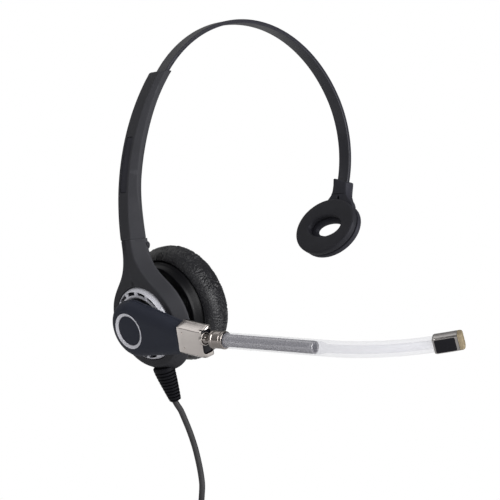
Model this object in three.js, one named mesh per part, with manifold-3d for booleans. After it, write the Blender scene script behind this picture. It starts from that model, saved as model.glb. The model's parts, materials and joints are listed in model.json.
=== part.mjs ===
// Office headset with one ear cup, a temple rest and a voice-tube microphone.
// Millimetres, +Z up. X runs from the ear cup (-X) to the temple rest (+X), and the wearer faces -Y.
// The origin is the middle of the wearer's head, where the head holds the headset up.

import * as THREE from 'three';
import { mergeVertices } from 'three/addons/utils/BufferGeometryUtils.js';
import Module from 'manifold-3d';

const wasm = await Module();
wasm.setup();

// ---------------------------------------------------------------- driving dimensions

const GAP = 0.3; // clearance between touching pieces
const RUN = 0.35; // clearance round a piece that slides or turns

// spring steel band: two arcs a side, the outer face's radii and centres
const BAND_WIDTH = 6.9;
const BAND_THICK = 1.45;
const CROWN_RADIUS = 67.2;
const CROWN_Z = 43;
const SHOULDER_RADIUS = 56;
const SHOULDER_X = 9.4;
const SHOULDER_Z = 49;
const CROWN_ANGLE = THREE.MathUtils.degToRad(57.9); // half of the crown's arc
const BAND_TAIL = THREE.MathUtils.degToRad(17); // how far the band runs on below the shoulder's middle

// slider arm: a hollow trapezoid along one arc
const ARM_X = 30.4;
const ARM_Z = 19;
const ARM_OUTER = 108.4;
const ARM_INNER = 102.2;
const ARM_NARROW = 6.9; // width of the outer face
const ARM_WIDE = 13; // width of the inner face
const ARM_SPLIT = 103.75; // where the inner cover meets the outer shell
const BAND_OUTER = 105.8; // the band's outer face inside the arm
const MOUTH_ANGLE = THREE.MathUtils.degToRad(35);
const SEAM_ANGLE = THREE.MathUtils.degToRad(-9.7);
const BAND_INSIDE = THREE.MathUtils.degToRad(19.4); // arc of band inside the arm when pushed home

// ear cup: axis tilted so that it points outwards and down
const CUP_CENTRE = new THREE.Vector3(-64.9, 0, -36.6);
const CUP_TILT = THREE.MathUtils.degToRad(20.5);
const BEZEL_RIM = 21.4;
const BEZEL_BASE = 24;
const BEZEL_TOP = 1.1;
const BEZEL_BOTTOM = -6;
const DISH_RADIUS = 17.4;
const DISH_FLOOR = -2.2;
const DISH_UNDER = -4;
const HUB_BORE = 4.2;
const COVER_BOTTOM = -7.8;
const SCREW_CIRCLE = 18;

// gimbal that carries the ear capsule
const GIMBAL_Z = -10.2;
const GIMBAL_INNER = 6.2;
const GIMBAL_OUTER = 8.6;
const LUG_NEAR = 9.2;
const LUG_FAR = 11.2;
const PIN_RADIUS = 0.6;

// microphone boom
const BOOM_PITCH = THREE.MathUtils.degToRad(-6.3);
const BOOM_DISC = 13.2;
const BOOM_FACE = 12;
const BOOM_SHOULDER = 8; // where the side starts to slope in towards the outer face
const BOOM_SLOPE = 3.2;
const BOOM_BACK = 3.4;
const BOOM_END = 36;
const BOOM_END_HALF = 7.6;
const BLOCK_START = 36.3;
const BLOCK_END = 49.5;
const BLOCK_MIDDLE = 8;

// voice tube
const TUBE_YAW = THREE.MathUtils.degToRad(8);
const TUBE_RADIUS = 3.5;
const SLEEVE_LENGTH = 47;
const BEND_RADIUS = 150;
const CLEAR_LENGTH = 53;
const TIP_LENGTH = 12.6;
const TIP_HEIGHT = 8.2;
const TIP_DEPTH = 6.6;
const TUBE_DROP = THREE.MathUtils.degToRad(1.5);
const BEND_ROLL = THREE.MathUtils.degToRad(14); // the bend leans up from the cup's axis by this much

// temple rest
const TEMPLE_CENTRE = new THREE.Vector3(53.2, 0, 12.2);
const TEMPLE_TILT = THREE.MathUtils.degToRad(22);
const TEMPLE_LONG = 19.6;
const TEMPLE_SHORT = 15;
const TEMPLE_HOLE_LONG = 11.4;
const TEMPLE_HOLE_SHORT = 6.2;

// cord
const CORD_RADIUS = 1.4;

// ---------------------------------------------------------------- finishes

const FINISHES = {
  soft_black: { color: 0x303134, roughness: 0.55, metalness: 0 },
  boom_black: { color: 0x2a2e38, roughness: 0.5, metalness: 0 },
  band_black: { color: 0x1c1c1e, roughness: 0.4, metalness: 0.1 },
  nylon: { color: 0x242426, roughness: 0.6, metalness: 0 },
  satin_silver: { color: 0xcdcdd7, roughness: 0.3, metalness: 0.8 },
  nickel: { color: 0xbeb6b2, roughness: 0.22, metalness: 1 },
  brushed: { color: 0x969496, roughness: 0.32, metalness: 1 },
  steel: { color: 0x9a9ca0, roughness: 0.35, metalness: 1 },
  clear: { color: 0xe8e8ee, roughness: 0.1, metalness: 0 },
  leatherette: { color: 0x1e1e20, roughness: 0.5, metalness: 0 },
  foam: { color: 0x18181a, roughness: 0.95, metalness: 0 },
  rubber: { color: 0x1d1d1f, roughness: 0.7, metalness: 0 },
  board: { color: 0x1f4a2c, roughness: 0.5, metalness: 0 },
  brass: { color: 0xc9a65a, roughness: 0.3, metalness: 1 },
  beige: { color: 0x91826a, roughness: 0.5, metalness: 0 },
  film: { color: 0x8a8a7c, roughness: 0.4, metalness: 0 },
};

// ---------------------------------------------------------------- shape helpers

const headset = new THREE.Group();

function piece(name, geometry, finish, parent) {
  const mesh = new THREE.Mesh(geometry, new THREE.MeshStandardMaterial(FINISHES[finish]));
  mesh.name = name;
  parent.add(mesh);
  return mesh;
}

function toManifold(geometry) {
  const bare = geometry.clone();
  bare.deleteAttribute('normal');
  bare.deleteAttribute('uv');
  const merged = mergeVertices(bare, 1e-4);
  const vertProperties = new Float32Array(merged.attributes.position.array);
  const triVerts = new Uint32Array(merged.index.array);
  return new wasm.Manifold(new wasm.Mesh({ numProp: 3, vertProperties, triVerts }));
}

function toGeometry(manifold) {
  const mesh = manifold.getMesh();
  const geometry = new THREE.BufferGeometry();
  geometry.setAttribute('position', new THREE.BufferAttribute(new Float32Array(mesh.vertProperties), 3));
  geometry.setIndex(new THREE.BufferAttribute(new Uint32Array(mesh.triVerts), 1));
  return geometry;
}

function join(...geometries) {
  return toGeometry(geometries.map(toManifold).reduce((whole, part) => whole.add(part)));
}

function cut(geometry, ...tools) {
  return toGeometry(tools.map(toManifold).reduce((whole, tool) => whole.subtract(tool), toManifold(geometry)));
}

function common(a, b) {
  return toGeometry(toManifold(a).intersect(toManifold(b)));
}

function at(geometry, x, y, z) {
  return geometry.clone().translate(x, y, z);
}

// a solid turned about Z: points are [radius, z], running up the outside and down the inside
function turned(points, sides = 32) {
  const profile = points.map(([radius, z]) => new THREE.Vector2(radius, z));
  return new THREE.LatheGeometry(profile, sides).rotateX(Math.PI / 2).rotateZ(Math.PI);
}

// a closed ring turned about Z
function ring(inner, outer, low, high, sides = 28) {
  return turned([[inner, low], [outer, low], [outer, high], [inner, high], [inner, low]], sides);
}

function disc(radius, low, high, sides = 28) {
  return turned([[0, low], [radius, low], [radius, high], [0, high]], sides);
}

function box(x0, x1, y0, y1, z0, z1) {
  return at(new THREE.BoxGeometry(x1 - x0, y1 - y0, z1 - z0), (x0 + x1) / 2, (y0 + y1) / 2, (z0 + z1) / 2);
}

// a rod along X
function rod(radius, x0, x1, sides = 12) {
  return at(new THREE.CylinderGeometry(radius, radius, x1 - x0, sides).rotateZ(Math.PI / 2), (x0 + x1) / 2, 0, 0);
}

function polygon(points) {
  return new THREE.Shape(points.map(([x, y]) => new THREE.Vector2(x, y)));
}

function slab(shape, low, high, curveSegments = 12) {
  return at(new THREE.ExtrudeGeometry(shape, { depth: high - low, bevelEnabled: false, curveSegments }), 0, 0, low);
}

function ellipse(long, short) {
  return new THREE.Shape().absellipse(0, 0, long, short, 0, 2 * Math.PI, false, 0);
}

function roundedRectangle(width, height, radius) {
  const shape = new THREE.Shape();
  const x = width / 2 - radius;
  const y = height / 2 - radius;
  shape.absarc(x, y, radius, 0, Math.PI / 2);
  shape.absarc(-x, y, radius, Math.PI / 2, Math.PI);
  shape.absarc(-x, -y, radius, Math.PI, 1.5 * Math.PI);
  shape.absarc(x, -y, radius, 1.5 * Math.PI, 2 * Math.PI);
  return shape;
}

// a turned screw: its head down at z = 0, its shank pointing up
function screw(headRadius, headHeight, shankRadius, length) {
  const slotted = disc(headRadius, 0, headHeight, 12);
  const shank = disc(shankRadius, headHeight / 2, length, 8);
  const drive = box(-headRadius * 0.6, headRadius * 0.6, -0.25, 0.25, -1, headHeight / 2);
  return cut(join(slotted, shank), drive, drive.clone().rotateZ(Math.PI / 2));
}

// an arc about the origin of its own XY plane
class Arc extends THREE.Curve {
  constructor(radius, from, to) {
    super();
    this.radius = radius;
    this.from = from;
    this.to = to;
  }

  getPoint(t, target = new THREE.Vector3()) {
    const angle = this.from + (this.to - this.from) * t;
    return target.set(this.radius * Math.cos(angle), this.radius * Math.sin(angle), 0);
  }
}

// a section swept along an arc: section points are [width, radius]
function swept(section, radius, from, to, steps) {
  const shape = polygon(section.map(([width, height]) => [width, radius - height]));
  return new THREE.ExtrudeGeometry(shape, { steps, bevelEnabled: false, extrudePath: new Arc(radius, from, to) });
}

function rectangle(halfWidth, low, high) {
  return [[-halfWidth, low], [halfWidth, low], [halfWidth, high], [-halfWidth, high]];
}

// a group whose local XY plane is the headset's XZ plane, centred on an arc's centre
function archPlane(x, z) {
  const group = new THREE.Group();
  group.position.set(x, 0, z);
  group.rotation.x = Math.PI / 2;
  headset.add(group);
  return group;
}

function axesGroup(position, xAxis, yAxis, zAxis, parent) {
  const group = new THREE.Group();
  group.position.copy(position);
  group.quaternion.setFromRotationMatrix(new THREE.Matrix4().makeBasis(xAxis, yAxis, zAxis));
  parent.add(group);
  return group;
}

// ---------------------------------------------------------------- slider arm

const DEGREE = THREE.MathUtils.degToRad(1);
const BAND_INNER = BAND_OUTER - BAND_THICK;
const arm = archPlane(ARM_X, ARM_Z);
const MOUTH = Math.PI - MOUTH_ANGLE; // the arm's ends, as angles in its arch plane
const SEAM = Math.PI - SEAM_ANGLE;

// half of the arm's width at a given radius
function armHalf(radius) {
  const share = (ARM_OUTER - radius) / (ARM_OUTER - ARM_INNER);
  return (ARM_NARROW + (ARM_WIDE - ARM_NARROW) * share) / 2;
}

function trapezoid(low, high) {
  return [[-armHalf(low), low], [armHalf(low), low], [armHalf(high), high], [-armHalf(high), high]];
}

// a rod that points along the arm's radius at an angle of the arch plane
function spoke(radius, low, high, angle, sides = 12) {
  return rod(radius, low, high, sides).rotateZ(angle);
}

function buildArm() {
  const steps = 14;
  const screwAngle = Math.PI - 2 * DEGREE;
  const outer = swept(trapezoid(ARM_SPLIT + GAP, ARM_OUTER), ARM_OUTER, MOUTH, SEAM, steps);
  const channel = swept(
    rectangle(BAND_WIDTH / 2 + RUN, ARM_INNER, BAND_OUTER + RUN), BAND_OUTER, MOUTH - DEGREE, SEAM - 15 * DEGREE, 12);
  const springPocket = swept(
    rectangle(2, BAND_OUTER - 1, BAND_OUTER + 1.3), BAND_OUTER, MOUTH + 4 * DEGREE, MOUTH + 13 * DEGREE, 4);
  const inlayFrom = Math.PI - 15 * DEGREE;
  const inlayTo = Math.PI - 2 * DEGREE;
  const inlayPocket = swept(
    rectangle(2.6, ARM_OUTER - 0.7, ARM_OUTER + 1), ARM_OUTER, inlayFrom, inlayTo, 5);
  const screwHole = spoke(0.9, ARM_INNER - 1, ARM_INNER + 3.6, screwAngle);
  piece('arm_outer_shell', cut(outer, channel, springPocket, inlayPocket, screwHole), 'soft_black', arm);

  const inner = swept(trapezoid(ARM_INNER, ARM_SPLIT), ARM_OUTER, MOUTH, SEAM, steps);
  const screwSeat = spoke(1.9, ARM_INNER - 1, ARM_INNER + 0.8, screwAngle, 20);
  piece('arm_inner_shell', cut(inner, spoke(0.9, ARM_INNER - 1, ARM_INNER + 3, screwAngle), screwSeat),
    'soft_black', arm);

  const inlay = swept(
    rectangle(2.6 - GAP, ARM_OUTER - 0.6, ARM_OUTER - 0.25), ARM_OUTER,
    inlayFrom + 0.003, inlayTo - 0.003, 5);
  piece('arm_inlay_plate', inlay, 'nylon', arm);

  const leaf = swept(
    rectangle(1.6, BAND_OUTER + 0.6, BAND_OUTER + 0.95), BAND_OUTER, MOUTH + 5 * DEGREE, MOUTH + 12 * DEGREE, 6);
  piece('detent_spring', leaf, 'steel', arm);

  const fastener = screw(1.6, 0.5, 0.6, 3).rotateY(Math.PI / 2).translate(ARM_INNER + 0.15, 0, 0);
  piece('arm_screw', fastener.rotateZ(screwAngle), 'steel', arm);
}

// ---------------------------------------------------------------- band

// the band's middle line, from inside the arm over the head to the temple socket
function bandPath() {
  const points = [];
  const half = BAND_THICK / 2;
  const stretch = (x, z, radius, from, to, count) => {
    for (let i = 0; i < count; i += 1) {
      const angle = from + ((to - from) * i) / count;
      points.push(new THREE.Vector2(x + (radius - half) * Math.cos(angle), z + (radius - half) * Math.sin(angle)));
    }
  };
  const left = Math.PI / 2 + CROWN_ANGLE;
  const right = Math.PI / 2 - CROWN_ANGLE;
  stretch(ARM_X, ARM_Z, BAND_OUTER, MOUTH + BAND_INSIDE, MOUTH + DEGREE, 8);
  stretch(0, CROWN_Z, CROWN_RADIUS, left, right, 18);
  stretch(SHOULDER_X, SHOULDER_Z, SHOULDER_RADIUS, right, -BAND_TAIL, 9);
  stretch(SHOULDER_X, SHOULDER_Z, SHOULDER_RADIUS, -BAND_TAIL, -BAND_TAIL, 1);
  return points;
}

// a flat strip: the path's points moved out and in by half of the thickness
function stripOutline(points, half) {
  const outer = [];
  const inner = [];
  points.forEach((point, i) => {
    const before = points[Math.max(i - 1, 0)];
    const after = points[Math.min(i + 1, points.length - 1)];
    const along = after.clone().sub(before).normalize();
    outer.push([point.x - along.y * half, point.y + along.x * half]);
    inner.unshift([point.x + along.y * half, point.y - along.x * half]);
  });
  return polygon([...outer, ...inner]);
}

// a short rod across the band near its temple end
function tailRod(radius, low, high) {
  const angle = -BAND_TAIL + 3.5 * DEGREE;
  return rod(radius, low, high, 16).translate(SHOULDER_RADIUS, 0, 0).rotateZ(angle)
    .translate(SHOULDER_X, SHOULDER_Z, 0);
}

function buildBand() {
  const band = archPlane(0, 0);
  const half = BAND_WIDTH / 2;
  const rivetAngle = MOUTH + BAND_INSIDE - 2 * DEGREE;
  const rivetRod = (radius, low, high) => spoke(radius, low, high, rivetAngle).translate(ARM_X, ARM_Z, 0);
  const strip = slab(stripOutline(bandPath(), BAND_THICK / 2), -half, half);
  const rivetHole = rivetRod(0.9, BAND_INNER - 1, BAND_OUTER + 1);
  piece('band_strip', cut(strip, rivetHole, tailRod(1, -4, 4)), 'band_black', band);

  const shank = rivetRod(0.6, BAND_INNER - 0.2, BAND_OUTER + 0.2);
  piece('stop_rivet', join(shank, rivetRod(1.3, BAND_OUTER + 0.06, BAND_OUTER + 0.24)), 'steel', band);
  piece('tail_pin', tailRod(0.7, -2.6, 1.6), 'steel', band);
}

// ---------------------------------------------------------------- temple rest

const TEMPLE_OUT = new THREE.Vector3(Math.cos(TEMPLE_TILT), 0, -Math.sin(TEMPLE_TILT));
const TEMPLE_UP = new THREE.Vector3(Math.sin(TEMPLE_TILT), 0, Math.cos(TEMPLE_TILT));
const temple = axesGroup(TEMPLE_CENTRE, new THREE.Vector3(0, 1, 0), TEMPLE_UP, TEMPLE_OUT, headset);

function ovalRing(grow, low, high) {
  const shape = ellipse(TEMPLE_LONG + grow, TEMPLE_SHORT + grow);
  shape.holes.push(ellipse(TEMPLE_HOLE_LONG - grow, TEMPLE_HOLE_SHORT - grow));
  return slab(shape, low, high, 18);
}

function buildTemple() {
  // neck: a side profile in the arch plane, as wide as the socket, brought into the rest's own axes
  const neckProfile = polygon([
    [61, 38.4], [66.6, 38.4], [66.4, 35], [65.2, 29], [62.4, 23.6], [59.9, 24.4], [59.4, 28.5], [59.8, 33.5]]);
  const neck = slab(neckProfile, -4.6, 4.6).rotateX(Math.PI / 2);
  const bandSlot = slab(stripOutline(bandPath(), BAND_THICK / 2 + GAP), -3.8, 3.8).rotateX(Math.PI / 2);
  const pinHole = tailRod(1, -2.9, 1.9).rotateX(Math.PI / 2);
  const toRest = (geometry) => {
    temple.updateWorldMatrix(true, false);
    return geometry.applyMatrix4(temple.matrixWorld.clone().invert());
  };
  const web = slab(polygon([[-9, 10.5], [9, 10.5], [4.6, 20], [-4.6, 20]]), 0.3, 3);
  const frame = join(ovalRing(-0.6, 0.3, 3), web, toRest(neck));
  piece('temple_frame', cut(frame, toRest(bandSlot), toRest(pinHole)), 'nylon', temple);
  piece('temple_pad', ovalRing(0, -3.3, 0), 'rubber', temple);
}

// ---------------------------------------------------------------- ear cup yoke

const CUP_OUT = new THREE.Vector3(-Math.cos(CUP_TILT), 0, -Math.sin(CUP_TILT));
const CUP_UP = new THREE.Vector3(-Math.sin(CUP_TILT), 0, Math.cos(CUP_TILT));
const FORWARD = new THREE.Vector3(0, -1, 0);
const cup = axesGroup(CUP_CENTRE, FORWARD, CUP_UP, CUP_OUT, headset);

// a point of the arm's side view, in the cup's own [up, out] axes
function armPointInCup(radius, angle) {
  const point = new THREE.Vector3(ARM_X + radius * Math.cos(angle), 0, ARM_Z + radius * Math.sin(angle));
  point.sub(CUP_CENTRE);
  return [point.dot(CUP_UP), point.dot(CUP_OUT)];
}

// an [up, out] outline made as wide as asked along the cup's forward axis
function acrossCup(shape, half) {
  const turn = new THREE.Matrix4().makeBasis(
    new THREE.Vector3(0, 1, 0), new THREE.Vector3(0, 0, 1), new THREE.Vector3(1, 0, 0));
  return slab(shape, -half, half).applyMatrix4(turn);
}

// the neck seen along the cup's axis, flaring from the seam to the bezel
function neckOutline(half, radius) {
  const spread = 40 * DEGREE;
  const x = radius * Math.cos(spread);
  const y = radius * Math.sin(spread);
  const shape = new THREE.Shape();
  shape.moveTo(half, 42);
  shape.lineTo(-half, 42);
  shape.lineTo(-half, 37);
  shape.bezierCurveTo(-half, 26, -x + 4, y + 5, -x, y);
  shape.lineTo(-x, 0);
  shape.lineTo(x, 0);
  shape.lineTo(x, y);
  shape.bezierCurveTo(x - 4, y + 5, half, 26, half, 37);
  return shape;
}

// the neck narrows outwards, as the arm does: layers from the wide inner face to the narrow outer one
function neckLayers() {
  const layers = 4;
  const low = BEZEL_BOTTOM - 3;
  const depth = (BEZEL_TOP - low) / layers;
  const slabs = [];
  for (let i = 0; i < layers; i += 1) {
    const share = (i + 0.5) / layers;
    const half = (ARM_WIDE + (ARM_NARROW - ARM_WIDE) * share) / 2;
    const radius = BEZEL_BASE + (BEZEL_RIM - BEZEL_BASE) * share;
    slabs.push(slab(neckOutline(half, radius), low + depth * i - 0.01, low + depth * (i + 1) + 0.01, 5));
  }
  return join(...slabs);
}

// the neck in side view, from the seam down to the bezel
function neckSide() {
  const start = SEAM + GAP / ARM_OUTER;
  return polygon([
    armPointInCup(ARM_OUTER, start), [29, 0.4], [22, BEZEL_TOP], [8, BEZEL_TOP],
    [8, BEZEL_BOTTOM], [20, BEZEL_BOTTOM], [30, -6.6], armPointInCup(ARM_INNER, start)]);
}

function onScrewCircle(geometry) {
  return [90, 210, 330].map((degrees) => at(
    geometry, SCREW_CIRCLE * Math.cos(degrees * DEGREE), SCREW_CIRCLE * Math.sin(degrees * DEGREE), 0));
}

function buildYoke() {
  const cone = turned([
    [0, BEZEL_BOTTOM], [BEZEL_BASE, BEZEL_BOTTOM], [BEZEL_BASE, BEZEL_BOTTOM + 0.8],
    [BEZEL_RIM, BEZEL_TOP - 0.5], [BEZEL_RIM - 0.6, BEZEL_TOP], [0, BEZEL_TOP]], 36);
  const neck = common(neckLayers(), acrossCup(neckSide(), 30));
  const dish = turned([
    [0, DISH_FLOOR], [DISH_RADIUS, DISH_FLOOR], [DISH_RADIUS, BEZEL_TOP - 0.4],
    [DISH_RADIUS + 0.7, BEZEL_TOP + 1], [0, BEZEL_TOP + 1]], 36);
  const hollow = disc(BEZEL_BASE - 2.2, BEZEL_BOTTOM - 1, DISH_UNDER, 36);
  const channel = box(-2.6, 2.6, 18, 34, -12, -3.4);
  const gland = rod(2.4, -26, -18.4, 20).rotateZ(Math.PI / 2).translate(0, 0, -2.8);
  const bore = disc(HUB_BORE, -8, 3, 32);
  const shell = cut(join(cone, neck), dish, hollow, channel, bore, gland);
  const bosses = onScrewCircle(disc(2, -4.6, DISH_UNDER + 0.5, 16));
  const pilots = onScrewCircle(disc(0.9, -5, -2.8, 16));
  piece('yoke_outer_shell', cut(join(shell, ...bosses), ...pilots), 'soft_black', cup);

  const plate = turned([
    [0, COVER_BOTTOM], [14, COVER_BOTTOM], [BEZEL_BASE - 2.5, BEZEL_BOTTOM],
    [BEZEL_BASE - 2.5, BEZEL_BOTTOM + 1.1], [14, COVER_BOTTOM + 1.4], [0, COVER_BOTTOM + 1.4]], 36);
  const tongue = box(-2.3, 2.3, 18.5, 33.7, -6.6, -5.3);
  const lug = box(LUG_NEAR, LUG_FAR, -2, 2, GIMBAL_Z - 1.2, COVER_BOTTOM + 0.5);
  const pinHoles = at(rod(PIN_RADIUS + 0.3, -LUG_FAR - 1, LUG_FAR + 1), 0, 0, GIMBAL_Z);
  const cover = join(plate, tongue, lug, lug.clone().rotateZ(Math.PI));
  const seats = onScrewCircle(disc(2, -9, -6.15, 20));
  const holes = onScrewCircle(disc(0.9, -9, -4, 16));
  piece('yoke_inner_shell', cut(cover, pinHoles, ...seats, ...holes), 'soft_black', cup);

  onScrewCircle(screw(1.6, 0.5, 0.6, 3.4)).forEach((fastener, i) => {
    piece(`yoke_screw_${i + 1}`, at(fastener, 0, 0, -6.75), 'steel', cup);
  });

  const trim = turned([
    [12.1, -1.6], [DISH_RADIUS - GAP, -1.6], [DISH_RADIUS - GAP, 0.4],
    [14.4, -0.3], [12.1, -0.5], [12.1, -1.6]], 36);
  const windows = [];
  const count = 12;
  for (let i = 0; i < count; i += 1) {
    windows.push(box(12.75, 14.2, -2, 2, -3, 1).rotateZ((i * 2 * Math.PI) / count));
  }
  piece('slotted_trim_ring', cut(trim, ...windows), 'satin_silver', cup);

  const flange = ring(2.75, 6.2, DISH_FLOOR + GAP, -1.2, 32);
  piece('boom_bush', join(flange, ring(2.75, HUB_BORE - GAP, -4.6, -1.5, 32)), 'nylon', cup);
  piece('terminal_board', box(-6, 6, -14.5, -6.5, -5.6, -4.8), 'board', cup);
  piece('cable_hole_plug', turned([[0, 0], [1.6, 0], [1.6, 0.9], [0.9, 1.5], [0, 1.6]], 20)
    .rotateX(Math.PI).translate(0, 33.6, -8.1), 'rubber', cup);
}

// ---------------------------------------------------------------- microphone boom

const boom = new THREE.Group();
boom.rotation.z = BOOM_PITCH;
cup.add(boom);

// the boom from outside: a disc that tapers on straight edges to the microphone block
function boomOutline(inset) {
  const radius = BOOM_DISC - inset;
  const half = BOOM_END_HALF - inset;
  const lean = Math.asin((BOOM_DISC - BOOM_END_HALF) / BOOM_END);
  const shape = new THREE.Shape();
  shape.moveTo(BOOM_END - inset, half);
  shape.absarc(0, 0, radius, Math.PI / 2 - lean, 1.5 * Math.PI + lean);
  shape.lineTo(BOOM_END - inset, -half);
  return shape;
}

// a slab whose outer edge slopes in over its top
function bevelledSlab(shape, low, high, slope, inset) {
  const settings = { depth: high - low, bevelThickness: slope, bevelSize: inset, bevelOffset: -inset };
  const solid = new THREE.ExtrudeGeometry(shape, { ...settings, bevelSegments: 2, curveSegments: 16 });
  const under = box(-100, 100, -100, 100, low - slope - 1, low);
  return cut(at(solid, 0, 0, low), under);
}

function blockOutline(inset) {
  const near = 7.2 - inset;
  const far = 5.7 - inset;
  return polygon([
    [BLOCK_START + inset, -near], [BLOCK_END - inset, -far], [BLOCK_END - inset, far], [BLOCK_START + inset, near]]);
}

function buildBoom() {
  const body = bevelledSlab(boomOutline(0), 6, BOOM_SHOULDER, BOOM_FACE - BOOM_SHOULDER, BOOM_SLOPE);
  const cavity = slab(boomOutline(3.4), 5, BOOM_FACE - 2.4, 14);
  const recess = disc(9.4, BOOM_FACE - 0.9, BOOM_FACE + 1);
  piece('boom_arm', cut(body, cavity, recess), 'boom_black', boom);
  piece('boom_back_cover', slab(boomOutline(0.1), BOOM_BACK, 5.7, 20), 'boom_black', boom);
  piece('inlay_ring', ring(7.6, 9.1, BOOM_FACE - 0.6, BOOM_FACE + 0.05), 'satin_silver', boom);
  piece('boom_cap', disc(7.3, BOOM_FACE - 0.6, BOOM_FACE - 0.1), 'boom_black', boom);

  const hub = turned([
    [0, -6], [2.4, -6], [2.4, -5.5], [1.7, -5.5], [1.7, -4.9], [2.4, -4.9], [2.4, -0.3],
    [6, -0.3], [6, BOOM_BACK - GAP], [0, BOOM_BACK - GAP]], 24);
  piece('boom_hub', hub, 'nylon', boom);
  piece('hub_clip', ring(2, 4, -5.4, -5.0, 24), 'steel', boom);
  piece('friction_washer', ring(2.75, 6, -0.9, -0.6, 32), 'steel', boom);

  const block = bevelledSlab(blockOutline(0), 4.2, 9.2, 2.7, 2.4);
  const hollow = box(BLOCK_START + 1.3, BLOCK_END + 1, -4, 4, 5.2, 10.8);
  piece('mic_block', cut(block, hollow), 'nickel', boom);
  const socket = at(rod(2.15, BLOCK_END - 4, BLOCK_END + 2, 24), 0, 0, BLOCK_MIDDLE);
  const cradle = at(new THREE.SphereGeometry(2.85, 12, 8), BLOCK_END - 2.4, 0, BLOCK_MIDDLE);
  const cap = box(BLOCK_END - 2.6, BLOCK_END - 0.1, -3.7, 3.7, 5.5, 10.5);
  piece('block_end_cap', cut(cap, socket, cradle), 'nylon', boom);
  const rim = ring(2.5, 3.2, 0, 0.6, 24).rotateY(Math.PI / 2);
  piece('socket_rim', at(rim, BLOCK_END + 0.2, 0, BLOCK_MIDDLE), 'nickel', boom);
  piece('mic_boot', cut(
    box(BLOCK_START + 1.7, BLOCK_START + 7.4, -3.6, 3.6, 5.5, 10.5),
    at(rod(2.1, BLOCK_START + 2.6, BLOCK_START + 9, 16), 0, 0, BLOCK_MIDDLE)), 'rubber', boom);
  piece('mic_capsule', at(rod(1.8, BLOCK_START + 3, BLOCK_START + 7, 16), 0, 0, BLOCK_MIDDLE), 'steel', boom);
}

// ---------------------------------------------------------------- voice tube

// the tube's own axes: X along the tube from the ball's centre, Y the way that it bends
const BALL = new THREE.Vector3(BLOCK_END - 2.4, 0, BLOCK_MIDDLE);
const tubeAlong = new THREE.Vector3(Math.cos(TUBE_YAW), -Math.sin(TUBE_DROP), -Math.sin(TUBE_YAW)).normalize();
const tubeBend = new THREE.Vector3(0, 1, 0).cross(tubeAlong).normalize().applyAxisAngle(tubeAlong, BEND_ROLL);
const tube = axesGroup(BALL, tubeAlong, tubeBend, tubeAlong.clone().cross(tubeBend), boom);
const FERRULE_START = 4.1;
const FERRULE_END = 12;
const SLEEVE_START = FERRULE_END + GAP;
const BEND_START = SLEEVE_START + SLEEVE_LENGTH;

// a solid turned about X: points are [radius, x]
function turnedAlong(points, sides = 16) {
  return turned(points, sides).rotateY(Math.PI / 2);
}

// a section swept along the tube's bend, from and to lengths along it
function alongBend(section, from, to, steps, sides = 8) {
  const start = -Math.PI / 2 + from / BEND_RADIUS;
  const end = -Math.PI / 2 + to / BEND_RADIUS;
  const path = new Arc(BEND_RADIUS, start, end);
  return at(
    new THREE.ExtrudeGeometry(section, { steps, bevelEnabled: false, extrudePath: path, curveSegments: sides }),
    BEND_START, BEND_RADIUS, 0);
}

function circle(radius) {
  return new THREE.Shape().absarc(0, 0, radius, 0, 2 * Math.PI);
}

function buildTube() {
  const ball = new THREE.SphereGeometry(2.5, 14, 8);
  const ferrule = turnedAlong([
    [0, 1], [1.1, 1], [1.1, FERRULE_START], [3.4, FERRULE_START], [3.85, FERRULE_START + 0.6],
    [3.85, FERRULE_END - 0.9], [3.6, FERRULE_END - 0.7], [3.6, FERRULE_END], [2.7, FERRULE_END],
    [2.7, FERRULE_END - 4], [0, FERRULE_END - 4]], 18);
  piece('tube_knuckle', join(ball, ferrule), 'nickel', tube);

  const spigot = FERRULE_END - 3.6;
  const sleeve = turnedAlong([
    [1.7, spigot], [2.4, spigot], [2.4, SLEEVE_START], [TUBE_RADIUS, SLEEVE_START],
    [TUBE_RADIUS, BEND_START - GAP], [2.75, BEND_START - GAP], [2.75, BEND_START - 8],
    [1.7, BEND_START - 8], [1.7, spigot]], 18);
  piece('tube_sleeve', sleeve, 'brushed', tube);
  piece('tube_o_ring', turnedAlong([
    [2.5, spigot + 1.2], [2.65, spigot + 1.2], [2.65, spigot + 1.8], [2.5, spigot + 1.8],
    [2.5, spigot + 1.2]], 16), 'rubber', tube);

  const plug = turnedAlong([[0, BEND_START - 7.5], [2.4, BEND_START - 7.5], [2.4, BEND_START + 1], [0, BEND_START + 1]]);
  const outside = alongBend(circle(3.4), 0, CLEAR_LENGTH, 9, 4);
  const bore = join(
    alongBend(circle(1.7), -0.5, CLEAR_LENGTH + 1, 9, 3),
    turnedAlong([[0, BEND_START - 9], [1.7, BEND_START - 9], [1.7, BEND_START + 0.4], [0, BEND_START + 0.4]], 16));
  piece('clear_tube', cut(join(plug, outside), bore), 'clear', tube);

  const tipFrom = CLEAR_LENGTH + GAP;
  const tipTo = tipFrom + TIP_LENGTH;
  const tip = alongBend(roundedRectangle(TIP_HEIGHT, TIP_DEPTH, 1.2), tipFrom, tipTo, 3, 2);
  const mouth = alongBend(roundedRectangle(TIP_HEIGHT - 2, TIP_DEPTH - 2, 0.8), tipTo - 3, tipTo + 1, 1, 2);
  const passage = alongBend(circle(1.7), tipFrom - 1, tipTo, 3, 2);
  piece('tube_tip', cut(tip, mouth, passage), 'boom_black', tube);
  const screen = alongBend(
    roundedRectangle(TIP_HEIGHT - 2 - 2 * GAP, TIP_DEPTH - 2 - 2 * GAP, 0.6), tipTo - 2.6, tipTo - 0.6, 1, 2);
  piece('tip_screen', screen, 'beige', tube);
}

// ---------------------------------------------------------------- ear capsule

// the gimbal ring tilts on the yoke's pins, and the capsule swivels on the gimbal's
const capsule = new THREE.Group();
capsule.position.z = GIMBAL_Z;
cup.add(capsule);

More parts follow.
